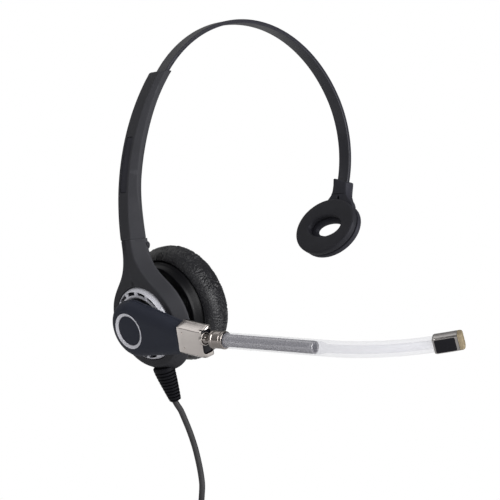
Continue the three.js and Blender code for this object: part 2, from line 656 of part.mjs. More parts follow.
function buildCapsule() {
  const band = ring(GIMBAL_INNER, GIMBAL_OUTER, -1.3, 1.3, 24);
  const bores = rod(PIN_RADIUS + 0.3, -GIMBAL_OUTER - 1, GIMBAL_OUTER + 1);
  piece('gimbal_ring', cut(band, bores, bores.clone().rotateZ(Math.PI / 2)), 'steel', capsule);
  ['front', 'top', 'rear', 'bottom'].forEach((side, i) => {
    const pin = rod(PIN_RADIUS, GIMBAL_INNER + 0.4, LUG_FAR - 0.2).rotateZ((i * Math.PI) / 2);
    piece(`gimbal_pin_${side}`, pin, 'steel', capsule);
  });

  const back = turned([
    [0, -2.4], [12.6, -2.4], [13.4, -0.6], [22.4, 0.8], [23.3, 0.3], [23.7, -0.8], [23.1, -2.2],
    [23.3, -4.6], [26, -6.6], [26.4, -9.4], [24.6, -9.4], [24.6, -7.4],
    [21.6, -1.6], [14.4, -2.6], [13, -4.2], [0, -4.2]].reverse(), 32);
  const lug = box(LUG_NEAR, LUG_FAR, -2, 2, -3, 1.2);
  const pinHole = rod(PIN_RADIUS + 0.3, -LUG_FAR - 1, LUG_FAR + 1).rotateZ(Math.PI / 2);
  const shell = join(back, lug.clone().rotateZ(Math.PI / 2), lug.clone().rotateZ(-Math.PI / 2));
  piece('capsule_back', cut(shell, pinHole), 'soft_black', capsule);

  const vents = [];
  const count = 6;
  for (let i = 0; i < count; i += 1) {
    vents.push(at(disc(1.8, -12, -8, 8), 8, 0, 0).rotateZ((i * 2 * Math.PI) / count));
  }
  piece('speaker_baffle', cut(disc(24.2, -11, -9.7, 32), ...vents), 'nylon', capsule);
  piece('speaker_frame', turned([
    [6.6, -7], [12.6, -9.4], [15, -9.4], [15, -8.2], [13.6, -8.2], [6.6, -5.6], [6.6, -7]], 32), 'steel', capsule);
  piece('speaker_magnet', disc(6.2, -8, -4.6, 32), 'steel', capsule);
  piece('speaker_diaphragm', turned([
    [0, -8.9], [5, -9.0], [12.2, -9.3], [12.2, -9.45], [5, -9.15], [0, -9.05]].reverse(), 32), 'film', capsule);

  piece('ear_cushion', turned([
    [12, -11.4], [12, -16.4], [14.4, -19.4], [19.5, -20.8], [24.4, -19.6], [27.2, -17], [28.3, -13.8],
    [27.9, -11.4], [26.6, -9.9], [24.8, -11.4], [12, -11.4]], 32), 'leatherette', capsule);
  piece('foam_disc', disc(11.6, -14, -11.4, 24), 'foam', capsule);
}

// ---------------------------------------------------------------- cord

const RELIEF_TILT = 8 * DEGREE;
const RELIEF_LENGTH = 16.4;
const relief = axesGroup(
  new THREE.Vector3(0, -BEZEL_BASE - 0.6, -3.1), new THREE.Vector3(1, 0, 0),
  new THREE.Vector3(0, -Math.sin(RELIEF_TILT), Math.cos(RELIEF_TILT)),
  new THREE.Vector3(0, -Math.cos(RELIEF_TILT), -Math.sin(RELIEF_TILT)), cup);
const RIBS = 9;
const COIL_CENTRE = new THREE.Vector3(-34.4, 0, -147);
const COIL_INNER = 12.6;
const COIL_OUTER = 21;
const COIL_HALF = 4.2;

// a tapered sleeve with ribs, flatter across than along, and the stub that sits in the yoke
function reliefProfile() {
  const points = [[0, -4.6], [2.1, -4.6], [2.1, 0], [5.3, 0.3]];
  const pitch = (RELIEF_LENGTH - 0.8) / RIBS;
  for (let i = 0; i < RIBS; i += 1) {
    const radius = 5.3 - (3.3 * i) / RIBS;
    const z = 0.3 + pitch * i;
    points.push([radius, z + pitch * 0.55], [radius - 0.75, z + pitch * 0.62], [radius - 0.85, z + pitch * 0.98]);
  }
  points.push([1.9, RELIEF_LENGTH], [0, RELIEF_LENGTH]);
  return points;
}

// the cord's route from the strain relief to the coil, chosen by hand, as [x, z] in the plane y = 0
const CORD_ROUTE = [
  [-45.4, -73.25], [-43.6, -76.6], [-41.3, -80.7], [-38.9, -84.8], [-36.7, -89], [-34.7, -93.6], [-32.8, -98.8],
  [-31.2, -104.4], [-30, -110.2], [-29.2, -116.8], [-28.8, -125.4]];
const TAIL_X = COIL_CENTRE.x + 19.6;
const TAIL_Y = -2.8;
const TAIL_TOP = -159.5;
const BOOT_TOP = -174;
const PLUG_TOP = -186;
const PLUG_END = -212;

function buildCord() {
  piece('strain_relief', turned(reliefProfile(), 12).scale(1, 0.72, 1), 'rubber', relief);
  const route = new THREE.CatmullRomCurve3(CORD_ROUTE.map(([x, z]) => new THREE.Vector3(x, 0, z)));
  const section = new THREE.Shape().absarc(0, 0, CORD_RADIUS, 0, 2 * Math.PI);
  piece('cord_drop', new THREE.ExtrudeGeometry(section, {
    steps: 16, bevelEnabled: false, extrudePath: route, curveSegments: 4 }), 'rubber', headset);

  const stand = (geometry) => geometry.rotateX(Math.PI / 2).translate(COIL_CENTRE.x, COIL_CENTRE.y, COIL_CENTRE.z);
  piece('cord_coil', stand(ring(COIL_INNER, COIL_OUTER, -COIL_HALF, COIL_HALF, 32)), 'rubber', headset);
  const strap = box(-3.6, 3.6, COIL_INNER - 1.9, COIL_OUTER + 1.2, -COIL_HALF - 1.2, COIL_HALF + 1.2);
  const bundle = box(-4, 4, COIL_INNER - 1, COIL_OUTER + GAP, -COIL_HALF - GAP, COIL_HALF + GAP);
  piece('coil_tie', stand(cut(strap, bundle).rotateZ(25 * DEGREE)), 'foam', headset);
  piece('cord_tail', at(disc(CORD_RADIUS, BOOT_TOP + GAP, TAIL_TOP, 8), TAIL_X, TAIL_Y, 0), 'rubber', headset);
}

// the quick-disconnect plug on the cord's end, hanging end down
function buildPlug() {
  const plug = new THREE.Group();
  plug.position.set(TAIL_X, TAIL_Y, 0);
  headset.add(plug);
  const boot = turned([
    [0, PLUG_TOP + GAP], [4, PLUG_TOP + GAP], [3.9, PLUG_TOP + 3], [2.9, PLUG_TOP + 7], [2.1, BOOT_TOP],
    [0, BOOT_TOP]], 16);
  piece('plug_boot', boot, 'rubber', plug);
  const body = slab(roundedRectangle(12.5, 9, 3), PLUG_END, PLUG_TOP, 3);
  const mouth = slab(roundedRectangle(8.6, 5.2, 1.4), PLUG_END - 1, PLUG_END + 9, 2);
  const latchSeat = box(-2.9, 2.9, -6, -3.4, PLUG_TOP - 14, PLUG_TOP - 5);
  piece('plug_body', cut(body, mouth, latchSeat), 'nylon', plug);
  piece('plug_latch', box(-2.5, 2.5, -5.1, -3.8, PLUG_TOP - 13.6, PLUG_TOP - 5.4), 'soft_black', plug);
  piece('plug_insert', slab(roundedRectangle(7.8, 4.4, 1), PLUG_END + 2.4, PLUG_END + 8.6, 2), 'nylon', plug);
  const comb = box(-3.3, 3.3, -0.5, 0.5, PLUG_END + 1.6, PLUG_END + 2.1);
  const prongs = [-2.7, -0.9, 0.9, 2.7].map((x) => box(
    x - 0.35, x + 0.35, -0.35, 0.35, PLUG_END + 0.6, PLUG_END + 1.8));
  piece('plug_contacts', join(comb, ...prongs), 'brass', plug);
}

buildArm();
buildBand();
buildTemple();
buildYoke();
buildBoom();
buildTube();
buildCapsule();
buildCord();
buildPlug();

export default headset;
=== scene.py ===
import json
from math import asin, atan2, ceil, cos, hypot, pi, radians, sin, tan
import bmesh
import bpy
from mathutils import Matrix, Vector, noise


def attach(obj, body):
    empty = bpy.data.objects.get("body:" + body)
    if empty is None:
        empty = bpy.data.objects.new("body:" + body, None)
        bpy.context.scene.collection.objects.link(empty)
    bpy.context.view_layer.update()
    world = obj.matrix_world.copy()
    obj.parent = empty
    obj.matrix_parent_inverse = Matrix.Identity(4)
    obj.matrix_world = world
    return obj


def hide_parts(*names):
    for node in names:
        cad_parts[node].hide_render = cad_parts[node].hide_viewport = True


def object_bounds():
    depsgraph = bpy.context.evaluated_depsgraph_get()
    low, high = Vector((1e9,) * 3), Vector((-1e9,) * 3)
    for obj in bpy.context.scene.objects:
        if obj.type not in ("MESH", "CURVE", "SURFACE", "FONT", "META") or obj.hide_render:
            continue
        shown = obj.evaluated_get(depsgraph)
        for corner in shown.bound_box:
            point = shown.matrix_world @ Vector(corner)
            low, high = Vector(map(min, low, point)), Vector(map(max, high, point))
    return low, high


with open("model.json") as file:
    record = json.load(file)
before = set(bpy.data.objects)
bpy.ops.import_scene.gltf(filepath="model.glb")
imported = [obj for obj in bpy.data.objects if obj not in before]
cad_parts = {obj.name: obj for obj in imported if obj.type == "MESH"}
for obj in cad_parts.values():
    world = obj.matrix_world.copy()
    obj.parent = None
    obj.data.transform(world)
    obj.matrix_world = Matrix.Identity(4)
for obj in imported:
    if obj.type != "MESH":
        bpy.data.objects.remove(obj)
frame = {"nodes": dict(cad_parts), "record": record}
cad_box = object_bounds()

# Office headset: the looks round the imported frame. Shapes are worked out in millimetres on the same
# axes as the part and stored in metres. The wearer faces -Y, and +Z is up.

MM = 0.001
DEGREE = radians(1)

# band and slider arm
BAND_HALF = 3.55
BAND_THICK = 1.9
CROWN_RADIUS, CROWN_X, CROWN_Z, CROWN_ANGLE = 67.2, 0.3, 43, 57.9 * DEGREE
SHOULDER_RADIUS, SHOULDER_X, SHOULDER_Z = 56, 9.8, 49
BAND_TAIL = 17 * DEGREE
ARM_X, ARM_Z = 30.4, 19
ARM_OUTER, ARM_INNER, ARM_SPLIT = 108.4, 102.2, 103.6
BAND_OUTER, MOUTH_RADIUS = 105.8, 105.6
MOUTH, SEAM = 145 * DEGREE, 189.7 * DEGREE
BAND_INSIDE = 19.4 * DEGREE
ARM_NARROW, ARM_WIDE = 3.45, 6.6
SEAM_DEPTH, SEAM_WIDTH = 0.8, 0.5

# ear cup
CUP_X, CUP_Z, CUP_LEAN = -64.9, -36.6, 20.5 * DEGREE
BEZEL_BASE, BEZEL_RIM = 24.3, 20.9
BEZEL_TOP, BEZEL_BOTTOM = 0.1, -6
DISH_RADIUS, DISH_FLOOR, DISH_UNDER = 17.4, -2.2, -4
HUB_BORE = 4.2
GIMBAL_Z = -10.2
CUSHION_RISE = 2.3

# temple rest
TEMPLE_X, TEMPLE_Y, TEMPLE_Z, TEMPLE_LEAN = 53.2, 0.3, 13.2, -22 * DEGREE

# boom and voice tube
TUBE_PITCH = -6.3 * DEGREE
BOOM_PITCH, BLOCK_PITCH = -9.7 * DEGREE, -10.5 * DEGREE
BOOM_DISC, BOOM_END, BOOM_END_HALF = 13.2, 32.4, 7.1
BLOCK_START, BLOCK_END, BALL_X, BALL_Z = 32.4, 48.2, 47.1, 8
TUBE_YAW, TUBE_DROP, BEND_ROLL = 8 * DEGREE, 1.5 * DEGREE, 10 * DEGREE
FERRULE_START, FERRULE_END = 4.9, 12.2
SLEEVE_START = 12.5
BEND_START = 59.3
BEND_LEAD, BEND_RADIUS, CLEAR_LENGTH, TIP_LENGTH = 6, 120, 53.3, 12.4

# cord
CORD_RADIUS = 1.4
COIL_X, COIL_Z, COIL_RADIUS, COIL_PITCH = -34.4, -147, 19.6, 2.85
RELIEF_LEAN = 5.5 * DEGREE
TAIL_X, TAIL_Y, BOOT_TOP, PLUG_TOP, PLUG_END = -14.8, -2.8, -174, -186, -212

# ---- axes


def axes(origin, x, y, z):
    matrix = Matrix((Vector(x), Vector(y), Vector(z))).transposed().to_4x4()
    matrix.translation = Vector(origin)
    return matrix


def tilted(angle):
    """Outward and upward directions of something that leans by an angle in the XZ plane."""
    return Vector((cos(angle), 0, sin(angle))), Vector((-sin(angle), 0, cos(angle)))


WORLD = Matrix.Identity(4)
ARM = axes((ARM_X, 0, ARM_Z), (1, 0, 0), (0, 0, 1), (0, -1, 0))
HEAD = axes((0, 0, 0), (1, 0, 0), (0, 0, 1), (0, -1, 0))
CUP_OUT, CUP_UP = tilted(pi + CUP_LEAN)
CUP_UP = -CUP_UP
CUP = axes((CUP_X, 0, CUP_Z), (0, -1, 0), CUP_UP, CUP_OUT)
BOOM = CUP @ Matrix.Rotation(BOOM_PITCH, 4, "Z")
BLOCK = CUP @ Matrix.Rotation(BLOCK_PITCH, 4, "Z")
SOCKET = CUP @ Matrix.Rotation(TUBE_PITCH, 4, "Z") @ Matrix.Translation((BALL_X, 0, BALL_Z))
CAPSULE = CUP @ Matrix.Translation((0, CUSHION_RISE, GIMBAL_Z - 0.9))
TEMPLE_OUT, TEMPLE_UP = tilted(TEMPLE_LEAN)
TEMPLE = axes((TEMPLE_X, TEMPLE_Y, TEMPLE_Z), (0, 1, 0), TEMPLE_UP, TEMPLE_OUT)
tube_along = Vector((cos(TUBE_YAW), -sin(TUBE_DROP), -sin(TUBE_YAW))).normalized()
tube_bend = Vector((0, 1, 0)).cross(tube_along).normalized()
tube_bend = Matrix.Rotation(BEND_ROLL, 3, tube_along) @ tube_bend
TUBE = SOCKET @ axes((0, 0, 0), tube_along, tube_bend, tube_along.cross(tube_bend))
relief_down = Vector((0, -cos(RELIEF_LEAN), -sin(RELIEF_LEAN)))
RELIEF = CUP @ axes((0.9, -BEZEL_BASE + 0.8, -3.0), (1, 0, 0), relief_down.cross(Vector((1, 0, 0))), relief_down)
PLUG = Matrix.Translation((TAIL_X, TAIL_Y, 0))

# ---- mesh helpers


def solid(name, shape, place):
    """A mesh object from points in millimetres on some axes."""
    points, faces = shape
    matrix = Matrix.Scale(MM, 4) @ place
    mesh = bpy.data.meshes.new(name)
    mesh.from_pydata([matrix @ Vector(p) for p in points], [], faces)
    work = bmesh.new()
    work.from_mesh(mesh)
    bmesh.ops.remove_doubles(work, verts=work.verts, dist=2e-7)
    bmesh.ops.recalc_face_normals(work, faces=work.faces)
    work.to_mesh(mesh)
    work.free()
    piece = bpy.data.objects.new(name, mesh)
    bpy.context.scene.collection.objects.link(piece)
    return piece


def applied(piece):
    """Bakes a piece's modifiers into its mesh."""
    graph = bpy.context.evaluated_depsgraph_get()
    mesh = bpy.data.meshes.new_from_object(piece.evaluated_get(graph), depsgraph=graph)
    piece.modifiers.clear()
    piece.data = mesh
    return piece


def carved(piece, *tools):
    for tool in tools:
        cut = piece.modifiers.new("cut", "BOOLEAN")
        cut.operation = "DIFFERENCE"
        cut.solver = "EXACT"
        cut.object = tool
    applied(piece)
    for tool in tools:
        bpy.data.objects.remove(tool)
    return piece


def dressed(piece, body, slot, *hidden, sharp=35, finish=None):
    """Shading, material, body and the CAD nodes that a finished piece stands for."""
    piece.data.shade_smooth()
    piece.data.set_sharp_from_angle(angle=sharp * DEGREE)
    piece.data.materials.clear()
    piece.data.materials.append(LOOKS[finish or slot])
    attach(piece, body)
    if hidden:
        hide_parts(*hidden)
    return piece


def loft(loops, ends=True, around=False):
    """Quads between closed loops of the same length."""
    count = len(loops[0])
    rows = len(loops)
    points = [point for loop in loops for point in loop]
    faces = []
    for row in range(rows if around else rows - 1):
        low = row * count
        high = (row + 1) % rows * count
        for i in range(count):
            j = (i + 1) % count
            faces.append((low + i, low + j, high + j, high + i))
    if ends and not around:
        faces.append(tuple(reversed(range(count))))
        faces.append(tuple(range((rows - 1) * count, rows * count)))
    return points, faces


def merged(*shapes):
    points, faces = [], []
    for more, sides in shapes:
        shift = len(points)
        points += list(more)
        faces += [tuple(i + shift for i in side) for side in sides]
    return points, faces


def rounded(corners, radius=0.4, steps=4, closed=False):
    """A polyline with its corners rounded. A corner may carry a radius of its own."""
    result = []
    count = len(corners)
    for i, corner in enumerate(corners):
        own = corner[2] if len(corner) > 2 else radius
        here = Vector(corner[:2])
        if own == 0 or (not closed and i in (0, count - 1)):
            result.append(tuple(here))
            continue
        back = Vector(corners[i - 1][:2]) - here
        ahead = Vector(corners[(i + 1) % count][:2]) - here
        half = back.angle(ahead) / 2
        reach = min(own / tan(half), 0.48 * back.length, 0.48 * ahead.length)
        start = here + back.normalized() * reach
        end = here + ahead.normalized() * reach
        for k in range(steps + 1):
            t = k / steps
            result.append(tuple(start * (1 - t) ** 2 + here * (2 * t * (1 - t)) + end * t ** 2))
    return result


def outlined(corners, radius=0.4, steps=4):
    """The same for a closed outline."""
    return rounded(corners, radius, steps, closed=True)


def oval(long, short, z, sides=96):
    turn = 2 * pi / sides
    return [(long * cos(i * turn), short * sin(i * turn), z) for i in range(sides)]


def circle(radius, z, sides=96):
    return oval(radius, radius, z, sides)


def lathe(profile, sides=96, closed=False):
    """A profile of (radius, z) turned about Z."""
    return loft([circle(r, z, sides) for r, z in profile], ends=False, around=closed)


def turned_x(profile, sides=64, closed=False):
    """A profile of (radius, x) turned about X."""
    points, faces = lathe(profile, sides, closed)
    return [(z, x, y) for x, y, z in points], faces


def box(low, high):
    (x0, y0, z0), (x1, y1, z1) = low, high
    bottom = [(x0, y0, z0), (x1, y0, z0), (x1, y1, z0), (x0, y1, z0)]
    return loft([bottom, [(x, y, z1) for x, y, _ in bottom]])


def pillow(width, height, radius, z0, z1, edge, steps=6):
    """A block with a rounded outline and rounded top and bottom edges."""
    def outline(inset, z):
        x, y = width / 2 - inset, height / 2 - inset
        corners = [(x, -y), (x, y), (-x, y), (-x, -y)]
        return [(a, b, z) for a, b in outlined(corners, max(radius - inset, 0.05), steps)]
    turns = [k * pi / 8 for k in range(5)]
    loops = [outline(edge * (1 - sin(a)), z0 + edge * (1 - cos(a))) for a in turns]
    loops += [outline(edge * (1 - cos(a)), z1 - edge * (1 - sin(a))) for a in turns]
    return loft(loops)


def smooth_step(value, start, end):
    t = min(max((value - start) / (end - start), 0), 1)
    return t * t * (3 - 2 * t)


def hermite(t, start, end, slope_start, slope_end):
    return (start * (2 * t ** 3 - 3 * t ** 2 + 1) + slope_start * (t ** 3 - 2 * t ** 2 + t)
            + end * (3 * t ** 2 - 2 * t ** 3) + slope_end * (t ** 3 - t ** 2))


# ---- materials


def node(tree, kind, **values):
    made = tree.nodes.new("ShaderNode" + kind)
    for key, value in values.items():
        if hasattr(made, key):
            setattr(made, key, value)
        else:
            made.inputs[key.replace("_", " ")].default_value = value
    return made


def join(source, output, target, socket):
    source.id_data.links.new(source.outputs[output], target.inputs[socket])


def look(name, colour, rough, metal=0.0, grain=3800, bump=0.12, mottle=0.12, edge=0.0, specular=0.5,
         sheen=0.0, stretch=(1, 1, 1), cells=0, alpha=1.0):
    """A procedural finish: mottled colour, uneven gloss, a fine moulded or drawn grain, and edges lightened by
    pointiness, partly as edge wear and partly as a painted edge highlight.
    """
    material = bpy.data.materials.new(name)
    material.use_nodes = True
    tree = material.node_tree
    shader = tree.nodes["Principled BSDF"]
    values = {"Metallic": metal, "Specular IOR Level": specular, "Sheen Weight": sheen, "Alpha": alpha}
    for key, value in values.items():
        shader.inputs[key].default_value = value

    place = node(tree, "TexCoord")
    scaled = node(tree, "Mapping", Scale=stretch)
    join(place, "Object", scaled, "Vector")
    broad = node(tree, "TexNoise", Scale=140, Detail=5, Roughness=0.6)
    fine = node(tree, "TexNoise", Scale=grain, Detail=3, Roughness=0.55)
    join(scaled, "Vector", broad, "Vector")
    join(scaled, "Vector", fine, "Vector")

    tone = node(tree, "MapRange", From_Min=0.3, From_Max=0.7, To_Min=1 - mottle, To_Max=1 + mottle)
    join(broad, "Fac", tone, "Value")
    # Pointiness lightens the base colour on edges: partly edge wear, partly a painted highlight where edges would
    # catch the light.
    edges = node(tree, "MapRange", From_Min=0.5, From_Max=0.6, To_Min=0, To_Max=edge)
    geometry = node(tree, "NewGeometry")
    join(geometry, "Pointiness", edges, "Value")
    strength = node(tree, "Math", operation="ADD")
    join(tone, "Result", strength, 0)
    join(edges, "Result", strength, 1)
    tint = node(tree, "VectorMath", operation="SCALE")
    tint.inputs[0].default_value = colour
    join(strength, "Value", tint, "Scale")
    join(tint, "Vector", shader, "Base Color")

    gloss = node(tree, "MapRange", From_Min=0.25, From_Max=0.75, To_Min=rough * 0.85,
                 To_Max=min(rough * 1.15, 1))
    join(fine, "Fac", gloss, "Value")
    join(gloss, "Result", shader, "Roughness")
    height, output = fine, "Fac"
    if cells:
        hide = node(tree, "TexVoronoi", Scale=cells, feature="DISTANCE_TO_EDGE")
        join(scaled, "Vector", hide, "Vector")
        crease = node(tree, "MapRange", From_Min=0, From_Max=0.18, To_Min=0, To_Max=1)
        join(hide, "Distance", crease, "Value")
        both = node(tree, "Math", operation="MULTIPLY_ADD")
        both.inputs[1].default_value = 0.35
        join(fine, "Fac", both, 0)
        join(crease, "Result", both, 2)
        height, output = both, "Value"
    relief = node(tree, "Bump", Strength=bump, Distance=0.00012)
    join(height, output, relief, "Height")
    join(relief, "Normal", shader, "Normal")
    return material


# edge sets how much the base colour is lightened on edges: partly edge wear, partly a painted edge highlight.
FINISHES = {
    "soft_black": dict(colour=(0.038, 0.0382, 0.0435), rough=0.58, edge=0.35, specular=0.13, mottle=0.06),
    "boom_black": dict(colour=(0.025, 0.028, 0.041), rough=0.55, edge=0.25, specular=0.13, mottle=0.05),
    "band_black": dict(colour=(0.024, 0.024, 0.031), rough=0.36, edge=0.3, specular=0.3, stretch=(1, 0.15, 1)),
    "nylon": dict(colour=(0.028, 0.028, 0.036), rough=0.6, edge=0.3, specular=0.15),
    "satin_silver": dict(colour=(0.74, 0.74, 0.80), rough=0.36, metal=0.25, bump=0.04, mottle=0.05),
    "nickel": dict(colour=(0.68, 0.63, 0.60), rough=0.19, metal=1.0, grain=2600, bump=0.03, mottle=0.06,
                   stretch=(1, 0.12, 1)),
    "dark_nickel": dict(colour=(0.36, 0.325, 0.305), rough=0.2, metal=1.0, bump=0.03, mottle=0.06),
    "brushed": dict(colour=(0.40, 0.39, 0.39), rough=0.26, metal=1.0, grain=5200, bump=0.03, mottle=0.05,
                   stretch=(1, 0.03, 1)),
    "dark_chrome": dict(colour=(0.42, 0.40, 0.39), rough=0.16, metal=1.0, bump=0.02, mottle=0.04),
    "capsule_black": dict(colour=(0.003, 0.003, 0.004), rough=0.42, edge=0.4, specular=0.2),
    "gloss_black": dict(colour=(0.005, 0.005, 0.008), rough=0.2, bump=0.02, specular=0.25),
    "steel": dict(colour=(0.42, 0.43, 0.44), rough=0.35, metal=1.0, bump=0.05),
    "clear": dict(colour=(0.74, 0.74, 0.83), rough=0.12, bump=0.0, mottle=0.02, alpha=0.17),
    "leatherette": dict(colour=(0.0075, 0.0075, 0.0098), rough=0.33, grain=2400, bump=0.5, cells=1200,
                   edge=0.3, specular=0.5, sheen=0.02),
    "foam": dict(colour=(0.012, 0.012, 0.013), rough=0.95, grain=1800, bump=0.9, cells=1900, specular=0.15),
    "boot_rubber": dict(colour=(0.006, 0.006, 0.0085), rough=0.6, edge=0.3, specular=0.15, bump=0.18),
    "cord_jacket": dict(colour=(0.040, 0.039, 0.041), rough=0.55, edge=0.2, specular=0.25, bump=0.15),
    "rubber": dict(colour=(0.020, 0.020, 0.025), rough=0.6, edge=0.3, specular=0.2, bump=0.18),
    "board": dict(colour=(0.02, 0.09, 0.035), rough=0.4),
    "brass": dict(colour=(0.72, 0.50, 0.20), rough=0.28, metal=1.0, bump=0.04),
    "beige": dict(colour=(0.30, 0.24, 0.15), rough=0.6, grain=2600, bump=0.7, cells=2600),
    "film": dict(colour=(0.25, 0.25, 0.2), rough=0.35),
}
LOOKS = {name: look(name, **finish) for name, finish in FINISHES.items()}

# ---- camera, lights and floor


def aimed(thing, place):
    """Puts a camera or a light at a place, facing the headset."""
    thing.location = place
    thing.rotation_mode = "QUATERNION"
    thing.rotation_quaternion = (-Vector(place)).to_track_quat("-Z", "Y")
    bpy.context.scene.collection.objects.link(thing)


def build_camera():
    azimuth, elevation, distance = -42.8 * DEGREE, -4 * DEGREE, 0.95
    away = Vector((sin(azimuth) * cos(elevation), -cos(azimuth) * cos(elevation),
                   sin(elevation)))
    camera = bpy.data.objects.new("camera", bpy.data.cameras.new("camera"))
    camera.data.lens = 143.64
    camera.data.sensor_width = 36
    camera.data.clip_end = 50
    aimed(camera, away * distance)
    bpy.context.scene.camera = camera


def area_light(name, place, size, power):
    light = bpy.data.objects.new(name, bpy.data.lights.new(name, "AREA"))
    light.data.size = size
    light.data.energy = power
    aimed(light, place)


def build_studio():
    area_light("key", (0.0, -1.35, 0.12), 1.2, 26)
    area_light("left", (-1.2, -0.25, 0.45), 0.3, 1.8)
    area_light("top", (-0.05, 0.6, 1.3), 0.9, 1.6)
    area_light("back", (-0.5, 1.3, 0.8), 0.9, 1.2)

    world = bpy.data.worlds.new("studio")
    bpy.context.scene.world = world
    world.use_nodes = True
    tree = world.node_tree
    lit = tree.nodes["Background"]
    lit.inputs["Color"].default_value = (1, 1, 1, 1)
    place = node(tree, "TexCoord")
    facing = node(tree, "VectorMath", operation="DOT_PRODUCT")
    facing.inputs[1].default_value = (-0.20, 0.75, 0.63)
    shade = node(tree, "MapRange", From_Min=-0.5, From_Max=1, To_Min=0.03, To_Max=0.36)
    join(place, "Generated", facing, 0)
    join(facing, "Value", shade, "Value")
    join(shade, "Result", lit, "Strength")
    white = node(tree, "Background", Color=(1, 1, 1, 1), Strength=1.0)
    rays = node(tree, "LightPath")
    seen = node(tree, "Math", operation="MAXIMUM")
    mix = node(tree, "MixShader")
    join(rays, "Is Camera Ray", seen, 0)
    join(rays, "Is Transmission Ray", seen, 1)
    join(seen, "Value", mix, "Fac")
    join(lit, "Background", mix, 1)
    join(white, "Background", mix, 2)
    join(mix, "Shader", tree.nodes["World Output"], "Surface")

    floor_z, floor_radius = cad_box[0].z / MM - 30, 1100
    floor = solid("floor", lathe([(0, floor_z), (floor_radius, floor_z)]), WORLD)
    paper = bpy.data.materials.new("paper")
    paper.use_nodes = True
    tree = paper.node_tree
    shader = tree.nodes["Principled BSDF"]
    shader.inputs["Roughness"].default_value = 0.9
    shader.inputs["Base Color"].default_value = (0.5, 0.5, 0.5, 1)
    shader.inputs["Emission Color"].default_value = (1, 1, 1, 1)
    place = node(tree, "TexCoord")
    reach = node(tree, "VectorMath", operation="LENGTH")
    fade = node(tree, "MapRange", From_Min=0.3, From_Max=1.05, To_Min=0.15, To_Max=0.7)
    join(place, "Object", reach, 0)
    join(reach, "Value", fade, "Value")
    join(fade, "Result", shader, "Emission Strength")
    floor.data.materials.append(paper)
    bpy.context.scene.view_settings.view_transform = "Standard"


# ---- cord


CORD_ROUTE = [
    (-47.3, -70.7), (-46.7, -71.7), (-45.1, -73.7), (-43.2, -75.9), (-40.7, -80.2), (-38.3, -84.6),
    (-36.2, -89), (-34.3, -93.6), (-32.6, -98.8), (-31.1, -104.4), (-30, -110.2), (-29.2, -115.8),
    (-28.6, -119.4), (-27, -122.8), (-23.5, -126.4)]


def coil_points():
    """The coil's turns: (radius, y) of each lane, changed one after the other between 50 and 0 degrees."""
    pitch, change = COIL_PITCH, 50
    outer, middle, inner = COIL_RADIUS, COIL_RADIUS - pitch, COIL_RADIUS - 2 * pitch
    lanes = [(22.5, pitch), (outer, pitch), (middle, pitch), (inner, pitch), (inner, 0), (middle, 0), (outer, 0),
             (outer, -pitch)]
    step = 10
    points = []
    turns = len(lanes) - 1
    for degrees in range(change, -360 * turns - 1, -step):
        turn = max(0, ceil(-degrees / 360))
        share = (degrees + 360 * turn) / change
        before, after = lanes[turn], lanes[min(turn + 1, turns)]
        t = 1 - smooth_step(min(share, 1), 0, 1)
        radius = before[0] + (after[0] - before[0]) * t
        y = before[1] + (after[1] - before[1]) * t
        bulge = 4 * t * (1 - t) * 1.1
        if before[0] == after[0] and turn < turns:
            radius += bulge if before[0] == outer else -bulge
        if turn == turns:
            out = 1 - smooth_step(degrees + 360 * turns, change, 98)
            radius = outer + 3.2 * out
            y = -pitch - 0.8 * out
        angle = degrees * DEGREE
        points.append((COIL_X + radius * cos(angle), y, COIL_Z + radius * sin(angle)))
    return points


def through(points, steps=4):
    """A smooth line through points."""
    line = []
    for i in range(len(points) - 1):
        a = Vector(points[max(i - 1, 0)])
        b, c = Vector(points[i]), Vector(points[i + 1])
        d = Vector(points[min(i + 2, len(points) - 1)])
        for k in range(steps):
            t = k / steps
            line.append((b * 2 + (c - a) * t + (a * 2 - b * 5 + c * 4 - d) * t ** 2
                         + (b * 3 - a - c * 3 + d) * t ** 3) / 2)
    return [tuple(p) for p in line] + [tuple(points[-1])]


def directions(points):
    """Which way a line of vectors runs at each of its points."""
    ends = [points[0]] + points + [points[-1]]
    return [(after - before).normalized() for before, after in zip(ends, ends[2:])]


def tube_mesh(line, radius, sides=16):
    """A round tube along a line, its sections carried along without twist."""
    points = [Vector(p) for p in line]
    loops = []
    side = Vector((0, 1, 0))
    for here, along in zip(points, directions(points)):
        side = (side - along * side.dot(along)).normalized()
        other = along.cross(side)
        turns = [2 * pi * k / sides for k in range(sides)]
        loops.append([here + (side * cos(a) + other * sin(a)) * radius for a in turns])
    return loft(loops)


def build_relief():
    """The strain relief, with ribs that are cut deeper on one side."""
    ribs = []
    count, pitch, reach = 10, 1.56, 14.9
    profile = [(5.4, -1.9, 0), (5.7, -1.6, 0), (5.7, -1.0, 0)]
    for i in range(count):
        z = pitch * i - 0.9
        profile += [(0, z + pitch * 0.42, 0), (0, z + pitch * 0.50, 0), (0, z + pitch * 0.56, 1),
                    (0, z + pitch * 0.88, 1), (0, z + pitch * 0.94, 0), (0, z + pitch, 0)]
    for radius, z, deep in profile:
        base = radius or 5.7 - 2.5 * (max(z, 0) / reach) ** 1.2
        loop = []
        for x, y, _ in circle(1, 0, 64):
            depth = deep * (0.30 + 1.15 * (0.5 + 0.5 * x))
            loop.append(((base - depth) * x, (base - depth) * y * 0.74, z))
        ribs.append(loop)
    ribs.append(circle(2.2, reach + 0.2, 64))
    ribs.append(circle(1.6, reach + 0.5, 64))
    return dressed(solid("strain_relief_ribs", loft(ribs), RELIEF), "yoke", "rubber", "strain_relief",
                   finish="boot_rubber")


